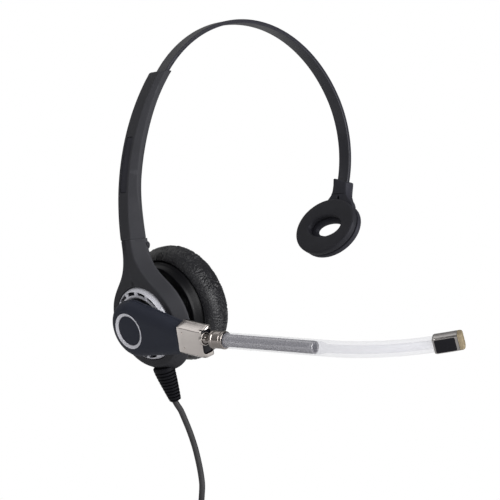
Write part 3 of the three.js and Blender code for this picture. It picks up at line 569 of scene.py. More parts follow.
def build_strap():
    """The loop that ties the coil together."""
    strap = []
    path = outlined([(11.3, -5.0), (21.9, -5.0), (21.9, 5.0), (11.3, 5.0)], 2.4, 8)
    place = axes((COIL_X, 0, COIL_Z), (1, 0, 0), (0, 1, 0), (0, 0, 1)) @ Matrix.Rotation(-115 * DEGREE, 4, "Y")
    for i, (r, y) in enumerate(path):
        before, after = Vector(path[i - 1]), Vector(path[(i + 1) % len(path)])
        along = (after - before).normalized()
        out = Vector((along.y, -along.x))
        section = outlined([(-3.5, 0), (3.5, 0), (3.5, 0.9), (-3.5, 0.9)], 0.35, 3)
        strap.append([(r + out.x * h, y + out.y * h, w) for w, h in section])
    return dressed(solid("coil_strap", loft(strap, around=True), place), "yoke", "foam", "coil_tie")


def build_plug():
    boot_profile = rounded([(0, PLUG_TOP + 0.3), (4, PLUG_TOP + 0.3, 0.3), (3.9, PLUG_TOP + 3, 0.3)], 0.3)
    for i in range(4):
        z = PLUG_TOP + 3.4 + i * 1.9
        r = 3.5 - i * 0.38
        boot_profile += [(r - 0.5, z), (r - 0.5, z + 0.5), (r, z + 0.7), (r - 0.05, z + 1.6)]
    boot_profile += rounded([(2.1, BOOT_TOP - 0.4), (2.0, BOOT_TOP), (0, BOOT_TOP)], 0.2)
    boot = dressed(solid("plug_boot_ribs", lathe(boot_profile, 48), PLUG), "yoke", "rubber", "plug_boot")

    shell = solid("plug_shell", pillow(12.5, 9, 3, PLUG_END, PLUG_TOP, 0.8), PLUG)
    mouth = solid("mouth", pillow(8.6, 5.2, 1.4, PLUG_END - 2, PLUG_END + 9, 0.2), PLUG)
    seat = solid("seat", box((-2.9, -6, PLUG_TOP - 14), (2.9, -3.4, PLUG_TOP - 5)), PLUG)
    grips = [solid("grip", pillow(1.2, 0.9, 0.4, PLUG_TOP - 13, PLUG_TOP - 4, 0.3),
                   PLUG @ Matrix.Translation((side * 6.4, y, 0))) for side in (-1, 1) for y in (-1.8, 0, 1.8)]
    carved(shell, mouth, seat, *grips)
    dressed(shell, "yoke", "nylon", "plug_body")
    latch = solid("plug_button", pillow(5, 8.2, 0.8, -0.65, 0.65, 0.3),
                  PLUG @ axes((0, -4.45, PLUG_TOP - 9.5), (1, 0, 0), (0, 0, 1), (0, -1, 0)))
    dressed(latch, "yoke", "soft_black", "plug_latch")
    return boot, shell, latch


def build_cord():
    """The cord from the cup to its plug, with everything that hangs on it."""
    drop = [(x, COIL_PITCH * smooth_step(-z, 108, 124), z) for x, z in CORD_ROUTE]
    tail = [(-11.8, -3.6, -150), (-12.6, -3.3, -154.5), (-13.9, -2.9, -159), (-14.7, TAIL_Y, -163.5),
            (TAIL_X, TAIL_Y, -168), (TAIL_X, TAIL_Y, BOOT_TOP + 0.3)]
    line = through(drop + coil_points() + tail)
    cord = solid("cord", tube_mesh(line, CORD_RADIUS), WORLD)
    dressed(cord, "yoke", "rubber", "cord_drop", "cord_coil", "cord_tail", sharp=60, finish="cord_jacket")
    relief, tie = build_relief(), build_strap()
    boot, shell, latch = build_plug()


# ---- slider arm and band


def arm_loop(section, t, inset=0.0):
    """A section of (half width, radius) set across the arm, t being 0 at the seam and 1 at the mouth."""
    middle_r = sum(r for _, r in section) / len(section)
    slant = smooth_step(t, 0.86, 1.0)
    loop = []
    for w, r in section:
        shrink = 1 - inset / 4
        w *= shrink
        r = middle_r + (r - middle_r) * shrink
        angle = SEAM + (MOUTH - SEAM) * t + slant * (r - MOUTH_RADIUS) * 0.9 / r
        loop.append((r * cos(angle), r * sin(angle), w))
    return loop


def arm_measures(t):
    at_seam = 1 - smooth_step(t, 0, 0.35)
    at_mouth = smooth_step(t, 0.5, 1)
    inner = ARM_INNER + 0.9 * t + 0.3 * at_mouth - SEAM_DEPTH * at_seam
    wide = ARM_WIDE - 0.9 * t - 0.4 * at_mouth + SEAM_WIDTH * at_seam
    fold = inner + 0.9 + 2.2 * smooth_step(t, 0.02, 0.3)
    return inner, wide, fold


def mirrored(half):
    """A section from its corners on one side."""
    return half + [(-w, r, own) for w, r, own in reversed(half)]


def outer_section(t):
    _, wide, fold = arm_measures(t)
    split = ARM_SPLIT + 0.3 * t
    fold = max(fold, split + 0.3)
    half = [(wide, split, 0.15), (wide, fold, 1.2), (ARM_NARROW, ARM_OUTER, 0.8)]
    return outlined(mirrored(half), steps=5)


def inner_section(t):
    inner, wide, _ = arm_measures(t)
    split = ARM_SPLIT + 0.3 * t - 0.15
    half = [(wide - 0.9, inner, 0.6), (wide - 0.12, inner + 0.7, 0.4), (wide - 0.12, split, 0.1)]
    return outlined(mirrored(half))


def arm_solid(name, section):
    steps = 110
    stations = [(-0.014, 0.35), (-0.0004, 0.3), (0, 0.12), (0.0012, 0.08), (0.003, 0)]
    stations += [(k / steps, 0) for k in range(1, steps)]
    stations += [(0.994, 0.02), (0.9965, 0.12), (0.999, 0.35), (1.0, 0.7)]
    return solid(name, loft([arm_loop(section(t), t, inset) for t, inset in stations]), ARM)


def arc_box(half, low, high, start, end, steps=24, inset=0.0):
    """A bar bent round the arm's centre, with rounded ends when it is given an inset."""
    loops = []
    for k in range(steps + 1):
        angle = start + (end - start) * k / steps
        near = min(k, steps - k)
        w = half - (inset if near == 0 else inset * 0.3 if near == 1 else 0)
        corners = outlined([(-w, low), (w, low), (w, high), (-w, high)], 0.12, 3)
        loops.append([(r * cos(angle), r * sin(angle), x) for x, r in corners])
    return loft(loops)


def build_arm():
    shell = arm_solid("arm_shell", outer_section)
    clearance = 0.35
    channel = arc_box(BAND_HALF + clearance, BAND_OUTER - BAND_THICK - clearance, BAND_OUTER + clearance,
                      MOUTH - 8 * DEGREE, MOUTH + 26 * DEGREE)
    pocket = arc_box(2.45, ARM_OUTER - 0.55, ARM_OUTER + 1, 164.6 * DEGREE, 178.4 * DEGREE, inset=0.5)
    carved(shell, solid("channel", channel, ARM), solid("pocket", pocket, ARM))
    dressed(shell, "yoke", "soft_black", "arm_outer_shell")
    dressed(arm_solid("arm_cover", inner_section), "yoke", "soft_black", "arm_inner_shell")
    plate = arc_box(2.3, ARM_OUTER - 0.5, ARM_OUTER - 0.22, 164.8 * DEGREE, 178.2 * DEGREE, inset=0.5)
    dressed(solid("arm_inlay", plate, ARM), "yoke", "nylon", "arm_inlay_plate")


def band_line():
    """The band's middle line in the XZ plane, from inside the arm to the temple socket."""
    points = []
    half = BAND_THICK / 2
    left, right = pi / 2 + CROWN_ANGLE, pi / 2 - CROWN_ANGLE
    stretches = [
        (ARM_X, ARM_Z, BAND_OUTER, MOUTH + BAND_INSIDE, MOUTH + DEGREE, 30),
        (CROWN_X, CROWN_Z, CROWN_RADIUS, left, right, 110),
        (SHOULDER_X, SHOULDER_Z, SHOULDER_RADIUS, right, -BAND_TAIL, 50)]
    for x, z, radius, start, end, count in stretches:
        for k in range(count):
            angle = start + (end - start) * k / count
            points.append(Vector((x + (radius - half) * cos(angle), z + (radius - half) * sin(angle))))
    return points


def build_band():
    points = band_line()
    for _ in range(3):
        inside = [(a + b * 2 + c) / 4 for a, b, c in zip(points, points[1:], points[2:])]
        points = [points[0]] + inside + [points[-1]]
    half = BAND_THICK / 2
    section = outlined([(-BAND_HALF, -half), (BAND_HALF, -half), (BAND_HALF, half), (-BAND_HALF, half)],
                       0.5, 5)
    loops = []
    for here, along in zip(points, directions(points)):
        out = Vector((-along.y, along.x))
        loops.append([(here.x + out.x * h, here.y + out.y * h, w) for w, h in section])
    band = solid("band_spring", loft(loops), HEAD)
    dressed(band, "band", "band_black", "band_strip")


# ---- temple rest


def oval_ring(outer, hole, low, high, edge):
    """An oval ring with rounded edges: outer and hole are (long, short) half sizes."""
    loops = []

    def corner(size, way, z, up, from_face):
        for k in range(6):
            side, rise = edge * (1 - sin(k * pi / 10)), edge * (1 - cos(k * pi / 10))
            if not from_face:
                side, rise = rise, side
            loops.append(oval(size[0] + way * side, size[1] + way * side, z + up * rise))

    corner(outer, -1, low, 1, True)
    corner(outer, -1, high, -1, False)
    corner(hole, 1, high, -1, True)
    corner(hole, 1, low, 1, False)
    return loft(loops, around=True)


def build_temple():
    back = solid("temple_back", oval_ring((19.3, 14.7), (8.7, 3.7), 0.45, 3, 0.6), TEMPLE)
    neck_line = [(63.5, 37.3), (63.4, 35), (62.9, 32), (62.2, 29.6), (61.4, 27.4), (60.6, 25.6), (59.8, 23.8),
                 (59, 22.2)]
    halves = [(4.7, 2.7), (4.7, 2.75), (4.85, 2.7), (5.6, 2.45), (7.5, 2.1), (9.7, 1.8), (11.3, 1.5), (11.6, 1.2)]
    loops = []
    top_slope = 0.26
    ways = directions([Vector(point) for point in neck_line])
    for i, ((x, z), (half, thick), along) in enumerate(zip(neck_line, halves, ways)):
        across = Vector((-along.y, along.x))
        section = outlined([(-half, -thick), (half, -thick), (half, thick), (-half, thick)], 0.9, 4)
        if i == 0:
            loops.append([(x + across.x * h * 0.86, z + across.y * h * 0.86 + 0.35 - top_slope * w, w * 0.92)
                          for w, h in section])
        slope = -top_slope * max(0, 1 - i)
        loops.append([(x + across.x * h, z + across.y * h + slope * w, w) for w, h in section])
    neck = solid("temple_neck", loft(loops), HEAD)
    slot = solid("slot", turned_x(rounded([(0, 55), (0.85, 55), (0.85, 61.2), (0, 61.2)], 0.1), 32),
                 Matrix.Translation((0, 0, 28.3)) @ Matrix.Scale(2.0, 4, (0, 0, 1)))
    line = solid("line", box((55, -3.6, 30.9), (60.75, 3.6, 31.15)), WORLD)
    carved(neck, slot, line)
    dressed(neck, "band", "nylon")
    dressed(back, "band", "nylon", "temple_frame")
    pad = solid("temple_cushion", oval_ring((19.4, 14.8), (10.9, 5.7), -3.4, -0.1, 1.0), TEMPLE)
    dressed(pad, "band", "rubber", "temple_pad")


# ---- ear cup yoke


def arm_in_cup(radius):
    """The arm's seam end in side view, as (up, out) on the cup's axes."""
    point = CUP.inverted() @ ARM @ Vector((radius * cos(SEAM), radius * sin(SEAM), 0))
    return point.y, point.z


NECK_TOP, NECK_TOP_OUT = arm_in_cup(ARM_OUTER)
NECK_LOW, NECK_LOW_OUT = arm_in_cup(ARM_INNER - SEAM_DEPTH)
NECK_SLOPE = -0.19
FLAT_TO = 20


def yoke_top(y):
    span = NECK_TOP - FLAT_TO
    t = min(max((y - FLAT_TO) / span, 0), 1)
    return hermite(t, BEZEL_TOP, NECK_TOP_OUT, 0, NECK_SLOPE * span)


def yoke_base(y):
    span = NECK_LOW - FLAT_TO
    t = min(max((y - FLAT_TO) / span, 0), 1)
    return hermite(t, BEZEL_BOTTOM, NECK_LOW_OUT, 0, NECK_SLOPE * span)


def yoke_outline(share):
    """The keyhole outline at a share of the side's slope, from the wide base (0) to the narrow top (1)."""
    radius = BEZEL_BASE + (BEZEL_RIM - BEZEL_BASE) * share
    wide = ARM_WIDE + SEAM_WIDTH
    half = wide + (ARM_NARROW - wide) * share
    end = NECK_LOW + (NECK_TOP - NECK_LOW) * min(share, 1) - 0.12 - max(share - 1, 0) * 0.6
    spread, straight = 40 * DEGREE, 36

    def flank(pull, drop):
        """One side from the bottom of the disc up to the neck."""
        line = []
        for k in range(60):
            angle = -pi / 2 + (spread + pi / 2) * k / 60
            line.append((radius * cos(angle), radius * sin(angle)))
        x, y = radius * cos(spread), radius * sin(spread)
        a, b, c, d = (Vector(p) for p in ((x, y), (x - pull, y + pull * 1.25), (half, drop), (half, straight)))
        for k in range(36):
            t = k / 36
            point = a * (1 - t) ** 3 + b * 3 * t * (1 - t) ** 2 + c * 3 * t * t * (1 - t) + d * t ** 3
            line.append((point.x, point.y))
        return line + [(half, straight + (end - straight) * k / 6) for k in range(6)]

    right = flank(4, 26) + [(half * (1 - k / 6), end) for k in range(7)]
    left = [(half * k / 6, end) for k in range(6, 0, -1)] + list(reversed(flank(5.6, 22.5)[1:]))
    return right + [(-x, y) for x, y in left]


def yoke_loop(share, height):
    return [(x, y, yoke_base(y) + (yoke_top(y) - yoke_base(y)) * height) for x, y in yoke_outline(share)]


def spoke_loops(outline, radius, level, count):
    """Loops from an outline in to a circle, at a height that follows level(y)."""
    loops = []
    for k in range(1, count + 1):
        u = k / count
        loop = []
        for x, y in outline:
            reach = hypot(x, y)
            px = x * (1 - u) + x / reach * radius * u
            py = y * (1 - u) + y / reach * radius * u
            loop.append((px, py, level(py)))
        loops.append(loop)
    return loops


def on_rays(outline, radius, z):
    return [(x / hypot(x, y) * radius, y / hypot(x, y) * radius, z) for x, y in outline]


def build_yoke():
    side = [(0.03, 0.0), (0, 0.03), (0, 0.11), (0.05, 0.17)]
    side += [(0.05 + 0.90 * k / 8, 0.17 + 0.75 * k / 8) for k in range(1, 9)]
    side += [(1.0, 0.955), (1.07, 0.98), (1.16, 0.995), (1.28, 1.0)]
    loops = [yoke_loop(share, height) for share, height in side]
    rim = yoke_outline(1.28)
    loops += spoke_loops(rim, DISH_RADIUS + 0.55, yoke_top, 10)
    wall = BEZEL_BASE - 2.2
    inside = [(DISH_RADIUS + 0.2, BEZEL_TOP - 0.12), (DISH_RADIUS, BEZEL_TOP - 0.45),
              (DISH_RADIUS, DISH_FLOOR + 0.3), (DISH_RADIUS - 0.3, DISH_FLOOR), (12, DISH_FLOOR),
              (HUB_BORE + 0.2, DISH_FLOOR), (HUB_BORE, DISH_FLOOR - 0.2), (HUB_BORE, DISH_UNDER),
              (12, DISH_UNDER), (wall, DISH_UNDER), (wall, BEZEL_BOTTOM)]
    loops += [on_rays(rim, radius, z) for radius, z in inside]
    base = yoke_outline(0.03)
    loops += list(reversed(spoke_loops(base, wall, yoke_base, 10)[:-1]))
    shell = solid("yoke_shell", loft(loops, around=True), CUP)
    dressed(shell, "yoke", "soft_black", "yoke_outer_shell", sharp=30)

    ring_profile = outlined([
        (12.6, 0.9, 0.1), (15.6, 0.9, 0.2), (16.15, 0.0, 0.2), (16.4, -1.6, 0.1), (DISH_RADIUS - 0.25, -1.6, 0.1),
        (DISH_RADIUS - 0.3, -0.7, 0.2), (16.75, 0.5, 0.8), (15.85, 1.85, 0.6), (15.3, 1.95, 0.2), (13.5, 1.95, 0.3),
        (13.1, 1.75, 0.3), (12.6, 1.3, 0.2)])
    trim = solid("trim_ring", lathe(ring_profile, 168, closed=True), CUP)
    windows = []
    count, first = 14, -6.2
    for i in range(count):
        turn = Matrix.Rotation((first + 360 * i / count) * DEGREE, 4, "Z")
        outline = [[(r * cos(a * DEGREE), r * sin(a * DEGREE), z) for r, a in
                    [(14.15, -10.2), (14.15, -3.4), (14.15, 3.4), (14.15, 10.2), (15.75, 10.2), (15.75, 3.4),
                     (15.75, -3.4), (15.75, -10.2)]] for z in (-3, 4)]
        windows.append(solid("window", loft(outline), CUP @ turn))
    carved(trim, *windows)
    dressed(trim, "yoke", "satin_silver", "slotted_trim_ring")

    stopper = lathe(rounded([(0, 0), (2.0, 0, 0.2), (2.0, 1.4, 0.6), (1.3, 2.2, 0.6), (0, 2.4)], 0.4), 40)
    place = CUP @ Matrix.Translation((5.6, 34.6, -7.6)) @ Matrix.Rotation(pi, 4, "X")
    dressed(solid("cable_stopper", stopper, place), "yoke", "rubber", "cable_hole_plug")


# ---- microphone boom


def boom_outline(inset, z, end_inset=0.0):
    """The boom seen along the cup's axis: a disc whose straight sides run to the microphone block."""
    radius = BOOM_DISC - inset
    half = BOOM_END_HALF - inset
    end = BOOM_END - end_inset
    lean = asin((BOOM_DISC - BOOM_END_HALF) / BOOM_END)
    start, finish = pi / 2 - lean, 1.5 * pi + lean
    arc = [start + (finish - start) * k / 72 for k in range(73)]
    points = [(radius * cos(a), radius * sin(a)) for a in arc]
    low, high = points[-1], points[0]
    edge = 20
    points += [(low[0] + (end - low[0]) * k / edge, low[1] + (-half - low[1]) * k / edge)
               for k in range(1, edge + 1)]
    points += [(end, -half + 2 * half * k / 8) for k in range(1, 8)]
    points += [(end + (high[0] - end) * k / edge, half + (high[1] - half) * k / edge) for k in range(edge)]
    return [(x, y, z) for x, y in points]


def build_boom():
    levels = [(0.5, 5.2, 0.2), (0.15, 5.3, 0.05), (0.0, 5.6, 0.0), (0.0, 6.3, 0.0), (0.12, 6.85, 0.0),
              (0.3, 7.5, 0.0), (0.65, 8.15, 0.0), (1.2, 8.75, 0.0), (1.9, 9.3, 0.0), (2.7, 9.72, 0.02),
              (3.6, 10.05, 0.06), (4.6, 10.25, 0.15), (5.5, 10.33, 0.3)]
    loops = [boom_outline(inset, z, end) for inset, z, end in levels]
    body = solid("boom_body", loft(loops), BOOM)
    recess = solid("recess", lathe([(0, 9.0), (8.45, 9.0), (8.45, 14), (0, 14)]), BOOM)
    hollow = solid("hollow", loft([boom_outline(3.4, z, 1.6) for z in (4, 8.2)]), BOOM)
    carved(body, recess, hollow)
    dressed(body, "boom", "boom_black", "boom_arm", sharp=25)

    levels = [(0.9, 3.4, 0.6), (0.4, 3.5, 0.2), (0.2, 3.8, 0.1), (0.2, 4.9, 0.1), (0.45, 5.05, 0.3)]
    cover = solid("boom_cover", loft([boom_outline(*level) for level in levels]), BOOM)
    dressed(cover, "boom", "boom_black", "boom_back_cover")

    chamfer = outlined([(7.0, 9.1, 0.1), (8.35, 9.1, 0.1), (8.38, 10.42, 0.15), (8.15, 10.46, 0.1),
                        (7.25, 9.86, 0.1), (7.0, 9.8, 0.1)], steps=3)
    dressed(solid("inlay_trim", lathe(chamfer, 120, closed=True), BOOM), "boom", "satin_silver", "inlay_ring")
    cap = rounded([(0, 9.05), (6.95, 9.05, 0.1), (6.95, 9.72, 0.2), (0, 9.85)])
    dressed(solid("boom_centre", lathe(cap), BOOM), "boom", "boom_black", "boom_cap")


def build_block():
    """The microphone's metal block with what is in and on its end."""
    sections = [(0.35, 0.35, 0), (0.08, 0.08, 0.12), (0, 0, 0.4), (0, 0, 3), (0, 0, 7), (0, 0, 11), (0, 0.05, 13.4),
                (0, 0.2, 14.1), (0, 0.5, 14.7), (0.08, 0.9, 15.15), (0.25, 1.3, 15.45), (0.6, 1.75, 15.6)]
    loops = []
    for inset, drop, along in sections:
        top = 9.0 - inset - 0.35 * along / 15.8
        front = 10.25 - drop
        corners = [(-5.4 + inset, 3.9 + inset, 0.5), (top, 3.9 + inset, 0.5), (top, 5.5, 0.7),
                   (top - 1.9 * (front - 5.5) / 4.75, front, 0.55), (-4.3 + inset, front, 0.6),
                   (-5.4 + inset, front - 1.15, 0.5)]
        loops.append([(BLOCK_START + along, y, z) for y, z in outlined(corners, steps=5)])
    block = solid("nickel_block", loft(loops), BLOCK)
    opening = solid("opening", pillow(11.0, 5.2, 1.4, BLOCK_END - 2.6, BLOCK_END + 1, 0.05),
                    BLOCK @ axes((0, 2.0, 7.0), (0, 1, 0), (0, 0, 1), (1, 0, 0)))
    dots = [solid("dot", lathe([(0, 10.0), (0.4, 10.0), (0.4, 13), (0, 13)], 20),
                  BLOCK @ Matrix.Translation((x, y, 0))) for x, y in ((35.6, 5.0), (36.1, -2.0))]
    carved(block, opening, *dots)
    dressed(block, "boom", "nickel", "mic_block")

    end = solid("block_end", pillow(10.7, 4.9, 1.3, BLOCK_END - 2.4, BLOCK_END - 0.5, 0.7),
                BLOCK @ axes((0, 2.0, 7.0), (0, 1, 0), (0, 0, 1), (1, 0, 0)))
    socket = solid("socket", turned_x([(0, -3), (2.3, -3), (2.3, 6), (0, 6)], 48), SOCKET)
    carved(end, socket)
    dressed(end, "boom", "nylon", "block_end_cap", finish="gloss_black")
    rim = outlined([(2.5, -0.2, 0.1), (3.0, -0.2, 0.1), (3.0, 1.1, 0.2), (2.65, 1.4, 0.15)])
    dressed(solid("socket_trim", turned_x(rim, closed=True), SOCKET), "boom", "nickel", "socket_rim")

    capsule = rounded([(0, -1.2), (2.2, -1.2, 0.2), (2.2, 1.1, 0.2), (1.7, 1.3, 0.1), (1.6, 1.2, 0.1), (0, 1.2)],
                      steps=3)
    place = BLOCK @ Matrix.Translation((38.2, 1.8, 7))
    dressed(solid("mic_element", turned_x(capsule, 48), place), "boom", "steel", "mic_capsule")
    boot = outlined([(2.3, -1.5, 0.2), (2.75, -1.5, 0.3), (2.75, 2.2, 0.5), (2.0, 3.4, 0.4), (1.2, 3.4, 0.2),
                     (1.2, 1.5, 0.2), (2.3, 1.4, 0.1)], steps=3)
    dressed(solid("mic_sleeve", turned_x(boot, 48, closed=True), place), "boom", "rubber", "mic_boot")


# ---- voice tube


def tube_place(length):
    """Where a length along the bend lies, and the directions along and across it."""
    if length < BEND_LEAD:
        return Vector((BEND_START + length, 0, 0)), Vector((1, 0, 0)), Vector((0, 1, 0))
    angle = (length - BEND_LEAD) / BEND_RADIUS
    centre = Vector((BEND_START + BEND_LEAD, BEND_RADIUS, 0))
    out = Vector((sin(angle), -cos(angle), 0))
    return centre + out * BEND_RADIUS, Vector((cos(angle), sin(angle), 0)), -out


def along_tube(stations):
    """Loops for (length, section) pairs, a section being points across the tube."""
    loops = []
    for length, section in stations:
        centre, _, across = tube_place(length)
        loops.append([centre + across * a + Vector((0, 0, b)) for a, b in section])
    return loops


def round_section(radius, sides=64):
    return [(x, y) for x, y, _ in circle(radius, 0, sides)]


def build_tube():
    start, end = FERRULE_START, FERRULE_END
    ferrule = rounded([
        (0, 1), (1.1, 1, 0.1), (1.1, start, 0.1), (3.5, start, 0.3), (4.0, start + 0.5, 0.3),
        (4.0, start + 1.5, 0.15), (3.6, start + 1.8, 0.15), (3.6, start + 2.1, 0.1),
        (3.85, start + 2.3, 0.15), (3.85, end - 1.9, 0.15), (3.6, end - 1.7, 0.1),
        (3.6, end - 1.4, 0.15), (3.95, end - 1.2, 0.2), (3.95, end - 0.1, 0.3),
        (3.2, end, 0.1), (2.95, end - 0.3, 0.1), (2.95, end - 4), (0, end - 4)])
    ball = [(2.5 * sin(k * pi / 24), -2.5 * cos(k * pi / 24)) for k in range(25)]
    knuckle = solid("knuckle", merged(turned_x(ferrule, 72), turned_x(ball, 48)), TUBE)
    dressed(knuckle, "knuckle", "nickel", "tube_knuckle", finish="dark_nickel")

    spigot = end - 3.6
    metal = outlined([(1.7, spigot), (2.5, spigot, 0.2), (2.5, SLEEVE_START - 0.2, 0.1), (2.72, SLEEVE_START, 0.1),
                      (2.72, BEND_START - 1.4, 0.1), (2.6, BEND_START - 1.3, 0.1), (2.6, BEND_START - 1.0, 0.1),
                      (2.72, BEND_START - 0.9, 0.1), (2.72, BEND_START - 0.1, 0.5), (1.7, BEND_START, 0.3)])
    dressed(solid("metal_tube", turned_x(metal, 72, closed=True), TUBE), "voice_tube", "brushed", "tube_sleeve")


def build_clear_tube():
    """The clear tube, which starts as a sleeve over the metal tube and ends in the tip."""
    radius, sleeve_bore, bore = 3.5, 2.85, 1.8
    first, stretch = SLEEVE_START - BEND_START, (-44.0, -30.0, -15.0, -1.0)
    outer = [(first + 0.02, 3.2), (first + 0.1, 3.42), (first + 0.4, radius)]
    outer += [(length, radius) for length in stretch]
    outer += [(CLEAR_LENGTH * k / 40, radius - 0.1 * smooth_step(k, 0, 40)) for k in range(41)]
    inner = [(CLEAR_LENGTH * k / 40, bore + 1.05 * (1 - smooth_step(k, 1, 5))) for k in range(40, -1, -1)]
    inner += [(length, sleeve_bore) for length in reversed(stretch)] + [(first + 0.02, sleeve_bore)]
    clear = along_tube([(length, round_section(size)) for length, size in outer + inner])
    dressed(solid("clear_sleeve", loft(clear, around=True), TUBE), "voice_tube", "clear", "clear_tube", sharp=50)


def build_tip():
    start, end = CLEAR_LENGTH + 0.3, CLEAR_LENGTH + 0.3 + TIP_LENGTH

    def block(width, depth, radius):
        x, y = width / 2, depth / 2
        return [(b, a) for a, b in outlined([(x, -y), (x, y), (-x, y), (-x, -y)], radius, 6)]

    full = block(7.4, 5.2, 1.2)
    stations = [(start, block(6.0, 3.9, 0.7)), (start + 0.12, block(6.8, 4.6, 0.9)),
                (start + 0.5, block(7.2, 5.0, 1.1))]
    stations += [(start + 0.9 + (TIP_LENGTH - 3.4) * k / 12, full) for k in range(13)]
    stations += [(end - 2.2, full)]
    tip = solid("tip_shell", loft(along_tube(stations)), TUBE)
    panels = []
    middle, along, across = tube_place(start + TIP_LENGTH / 2 - 1.2)
    for side in (-1, 1):
        place = axes(middle + across * side * 2.57, along, along.cross(across) * side, across * side)
        points, faces = pillow(TIP_LENGTH - 3.9, 5.9, 0.7, 0, 0.12, 0.05)
        panels.append(([place @ Vector(p) for p in points], faces))
    dressed(solid("tip_panels", merged(*panels), TUBE), "voice_tube", "boom_black", finish="gloss_black")
    dressed(tip, "voice_tube", "boom_black", "tube_tip", finish="dark_chrome")
    outside, inside = block(7.35, 5.15, 1.2), block(5.4, 3.2, 0.7)
    mouth = [(end - 2.15, block(6.9, 4.7, 1.0)), (end - 2.1, outside), (end - 0.9, outside),
             (end - 0.3, block(6.9, 4.7, 1.1)), (end, block(6.1, 3.9, 0.9)), (end - 0.1, block(5.7, 3.5, 0.8)),
             (end - 0.9, inside), (end - 1.9, inside), (end - 2.0, block(5.2, 3.0, 0.6))]
    dressed(solid("tip_mouth", loft(along_tube(mouth)), TUBE), "voice_tube", "beige", "tip_screen")


# ---- ear capsule


def build_capsule():
    back = rounded([
        (0, -2.4), (12.6, -2.4, 0.4), (13.4, -1.4, 0.5), (20.0, -0.5, 0.4), (20.75, -0.8, 0.25), (21.1, -1.9, 0.5),
        (21.3, -4.6, 0.8), (21.8, -5.6, 0.4), (21.9, -9.2, 0.3), (21.2, -9.2, 0.2), (20.7, -5.6, 0.5),
        (20.0, -2.4, 0.5), (14.4, -2.8, 0.5), (13, -4.2, 0.3), (0, -4.2)])
    shell = solid("capsule_shell", lathe(back, 144), CAPSULE)
    dressed(shell, "ear_capsule", "soft_black", "capsule_back", finish="capsule_black")

    foam = rounded([(0, -11.5), (11.6, -11.5, 0.3), (11.7, -13.6, 0.8), (0, -14.0)], steps=5)
    dressed(solid("ear_foam", lathe(foam, 72), CAPSULE), "ear_capsule", "foam", "foam_disc")


CUSHION_PROFILE = [
    (12.0, -11.6, 0.3), (12.1, -15.2, 1.5), (13.8, -18.2, 3.0), (18.8, -19.9, 4.0), (23.6, -19.0, 4.0),
    (26.2, -16.4, 3.0), (27.0, -13.0, 2.0), (27.4, -9.9, 1.0), (27.0, -8.3, 0.8), (25.7, -6.8, 1.4),
    (24.1, -5.6, 1.2), (22.5, -5.1, 0.6), (22.1, -6.4, 0.4), (22.2, -9.2, 0.3), (24.9, -9.4, 0.2),
    (24.9, -11.6, 0.2)]


def wrinkle(angle, z):
    """How deep the leatherette's folds are at a point of the cushion, in millimetres."""
    roll = smooth_step(-z, 7.6, 9.5) * (1 - 0.5 * smooth_step(-z, 18.0, 20.0))
    wall = 0.30 * (1 - smooth_step(-z, 7.2, 7.6))
    ring = Vector((cos(angle), sin(angle), 0))
    wander = noise.noise(ring * 7 + Vector((0, 0, z * 0.25)))
    patch = 0.35 + 0.65 * smooth_step(noise.noise(ring * 4 + Vector((5, 2, z * 0.15))), -0.35, 0.35)
    fold = abs(sin(angle * 64 + wander * 6 + z * 0.22)) ** 0.7
    small = noise.noise(ring * 42 + Vector((0, 0, z * 0.9)))
    return (roll + wall) * patch * (0.62 * (1 - fold) + 0.3 * small)


def sewn_down(radius, z):
    """Whether a point of the cushion's section is held by the stitching or the carrier plate."""
    lip = radius < 22.7 and z > -9.3
    plate = radius < 24.95 and -11.7 < z < -9.1
    return lip or plate or radius < 12.2


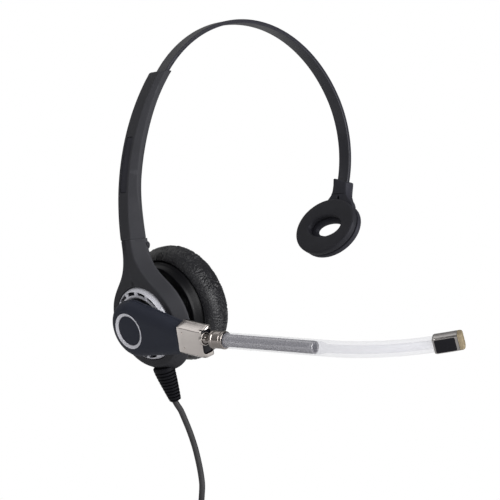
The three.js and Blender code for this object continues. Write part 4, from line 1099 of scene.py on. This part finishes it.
def plumped(piece, held, most):
    """Fills a cover by a cloth simulation with pressure inside.

    The held points stay where they are, and no point moves further than most.
    """
    enlarge, pressure, steps = 20, 4, 20
    scene = bpy.context.scene
    cover = bpy.data.objects.new("cover", piece.data.copy())
    scene.collection.objects.link(cover)
    cover.data.transform(Matrix.Scale(enlarge, 4))
    cover.vertex_groups.new(name="held").add(held, 1.0, "REPLACE")
    cloth = cover.modifiers.new("cloth", "CLOTH")
    cloth.settings.vertex_group_mass = "held"
    cloth.settings.use_pressure = True
    cloth.settings.uniform_pressure_force = pressure
    cloth.settings.effector_weights.gravity = 0
    cloth.collision_settings.use_collision = False
    for step in range(1, steps + 1):
        scene.frame_set(step)
    filled = cover.evaluated_get(bpy.context.evaluated_depsgraph_get())
    moves = [(new.co / enlarge - old.co) for new, old in zip(filled.data.vertices, piece.data.vertices)]
    for point, move in zip(piece.data.vertices, moves):
        point.co += move * min(1, most / max(move.length, 1e-9))
    bpy.data.objects.remove(cover)
    scene.frame_set(1)


def build_cushion():
    profile = outlined(CUSHION_PROFILE)
    section = []
    spacing, sides = 1.0, 480
    for i, here in enumerate(profile):
        ahead = profile[(i + 1) % len(profile)]
        gap = hypot(ahead[0] - here[0], ahead[1] - here[1])
        parts = max(1, round(gap / spacing))
        section += [(here[0] + (ahead[0] - here[0]) * k / parts, here[1] + (ahead[1] - here[1]) * k / parts)
                    for k in range(parts)]
    cushion = solid("ear_pad", lathe(section, sides, closed=True), CAPSULE)
    held = [row * sides + i for row, point in enumerate(section) if sewn_down(*point) for i in range(sides)]
    plumped(cushion, held, 0.6 * MM)
    smooth = cushion.modifiers.new("smooth", "SUBSURF")
    smooth.levels = 1
    applied(cushion)
    to_cushion = (Matrix.Scale(MM, 4) @ CAPSULE).inverted()
    folds = []
    for point in cushion.data.vertices:
        x, y, z = to_cushion @ point.co
        folds.append(wrinkle(atan2(y, x), z) * smooth_step(hypot(x, y), 13, 20))
    normals = [point.normal.copy() for point in cushion.data.vertices]
    for point, normal, depth in zip(cushion.data.vertices, normals, folds):
        point.co -= normal * depth * MM
    dressed(cushion, "ear_capsule", "leatherette", "ear_cushion", sharp=80)


# ---- the frame's own pieces


def finish_frame():
    """Procedural finishes and eased edges on the CAD pieces that still show."""
    slots = {part["node"]: part["material_slot"] for part in frame["record"]["subparts"]}
    for name, piece in frame["nodes"].items():
        if piece.hide_render:
            continue
        piece.data.materials.clear()
        piece.data.materials.append(LOOKS[slots[name]])
        bevel = piece.modifiers.new("edges", "BEVEL")
        bevel.width = 0.08 * MM
        bevel.segments = 2
        bevel.limit_method = "ANGLE"
        bevel.angle_limit = 35 * DEGREE


build_camera()
build_cord()
build_studio()
build_arm()
build_band()
build_temple()
build_yoke()
build_boom()
build_block()
build_tube()
build_clear_tube()
build_tip()
build_capsule()
build_cushion()
finish_frame()
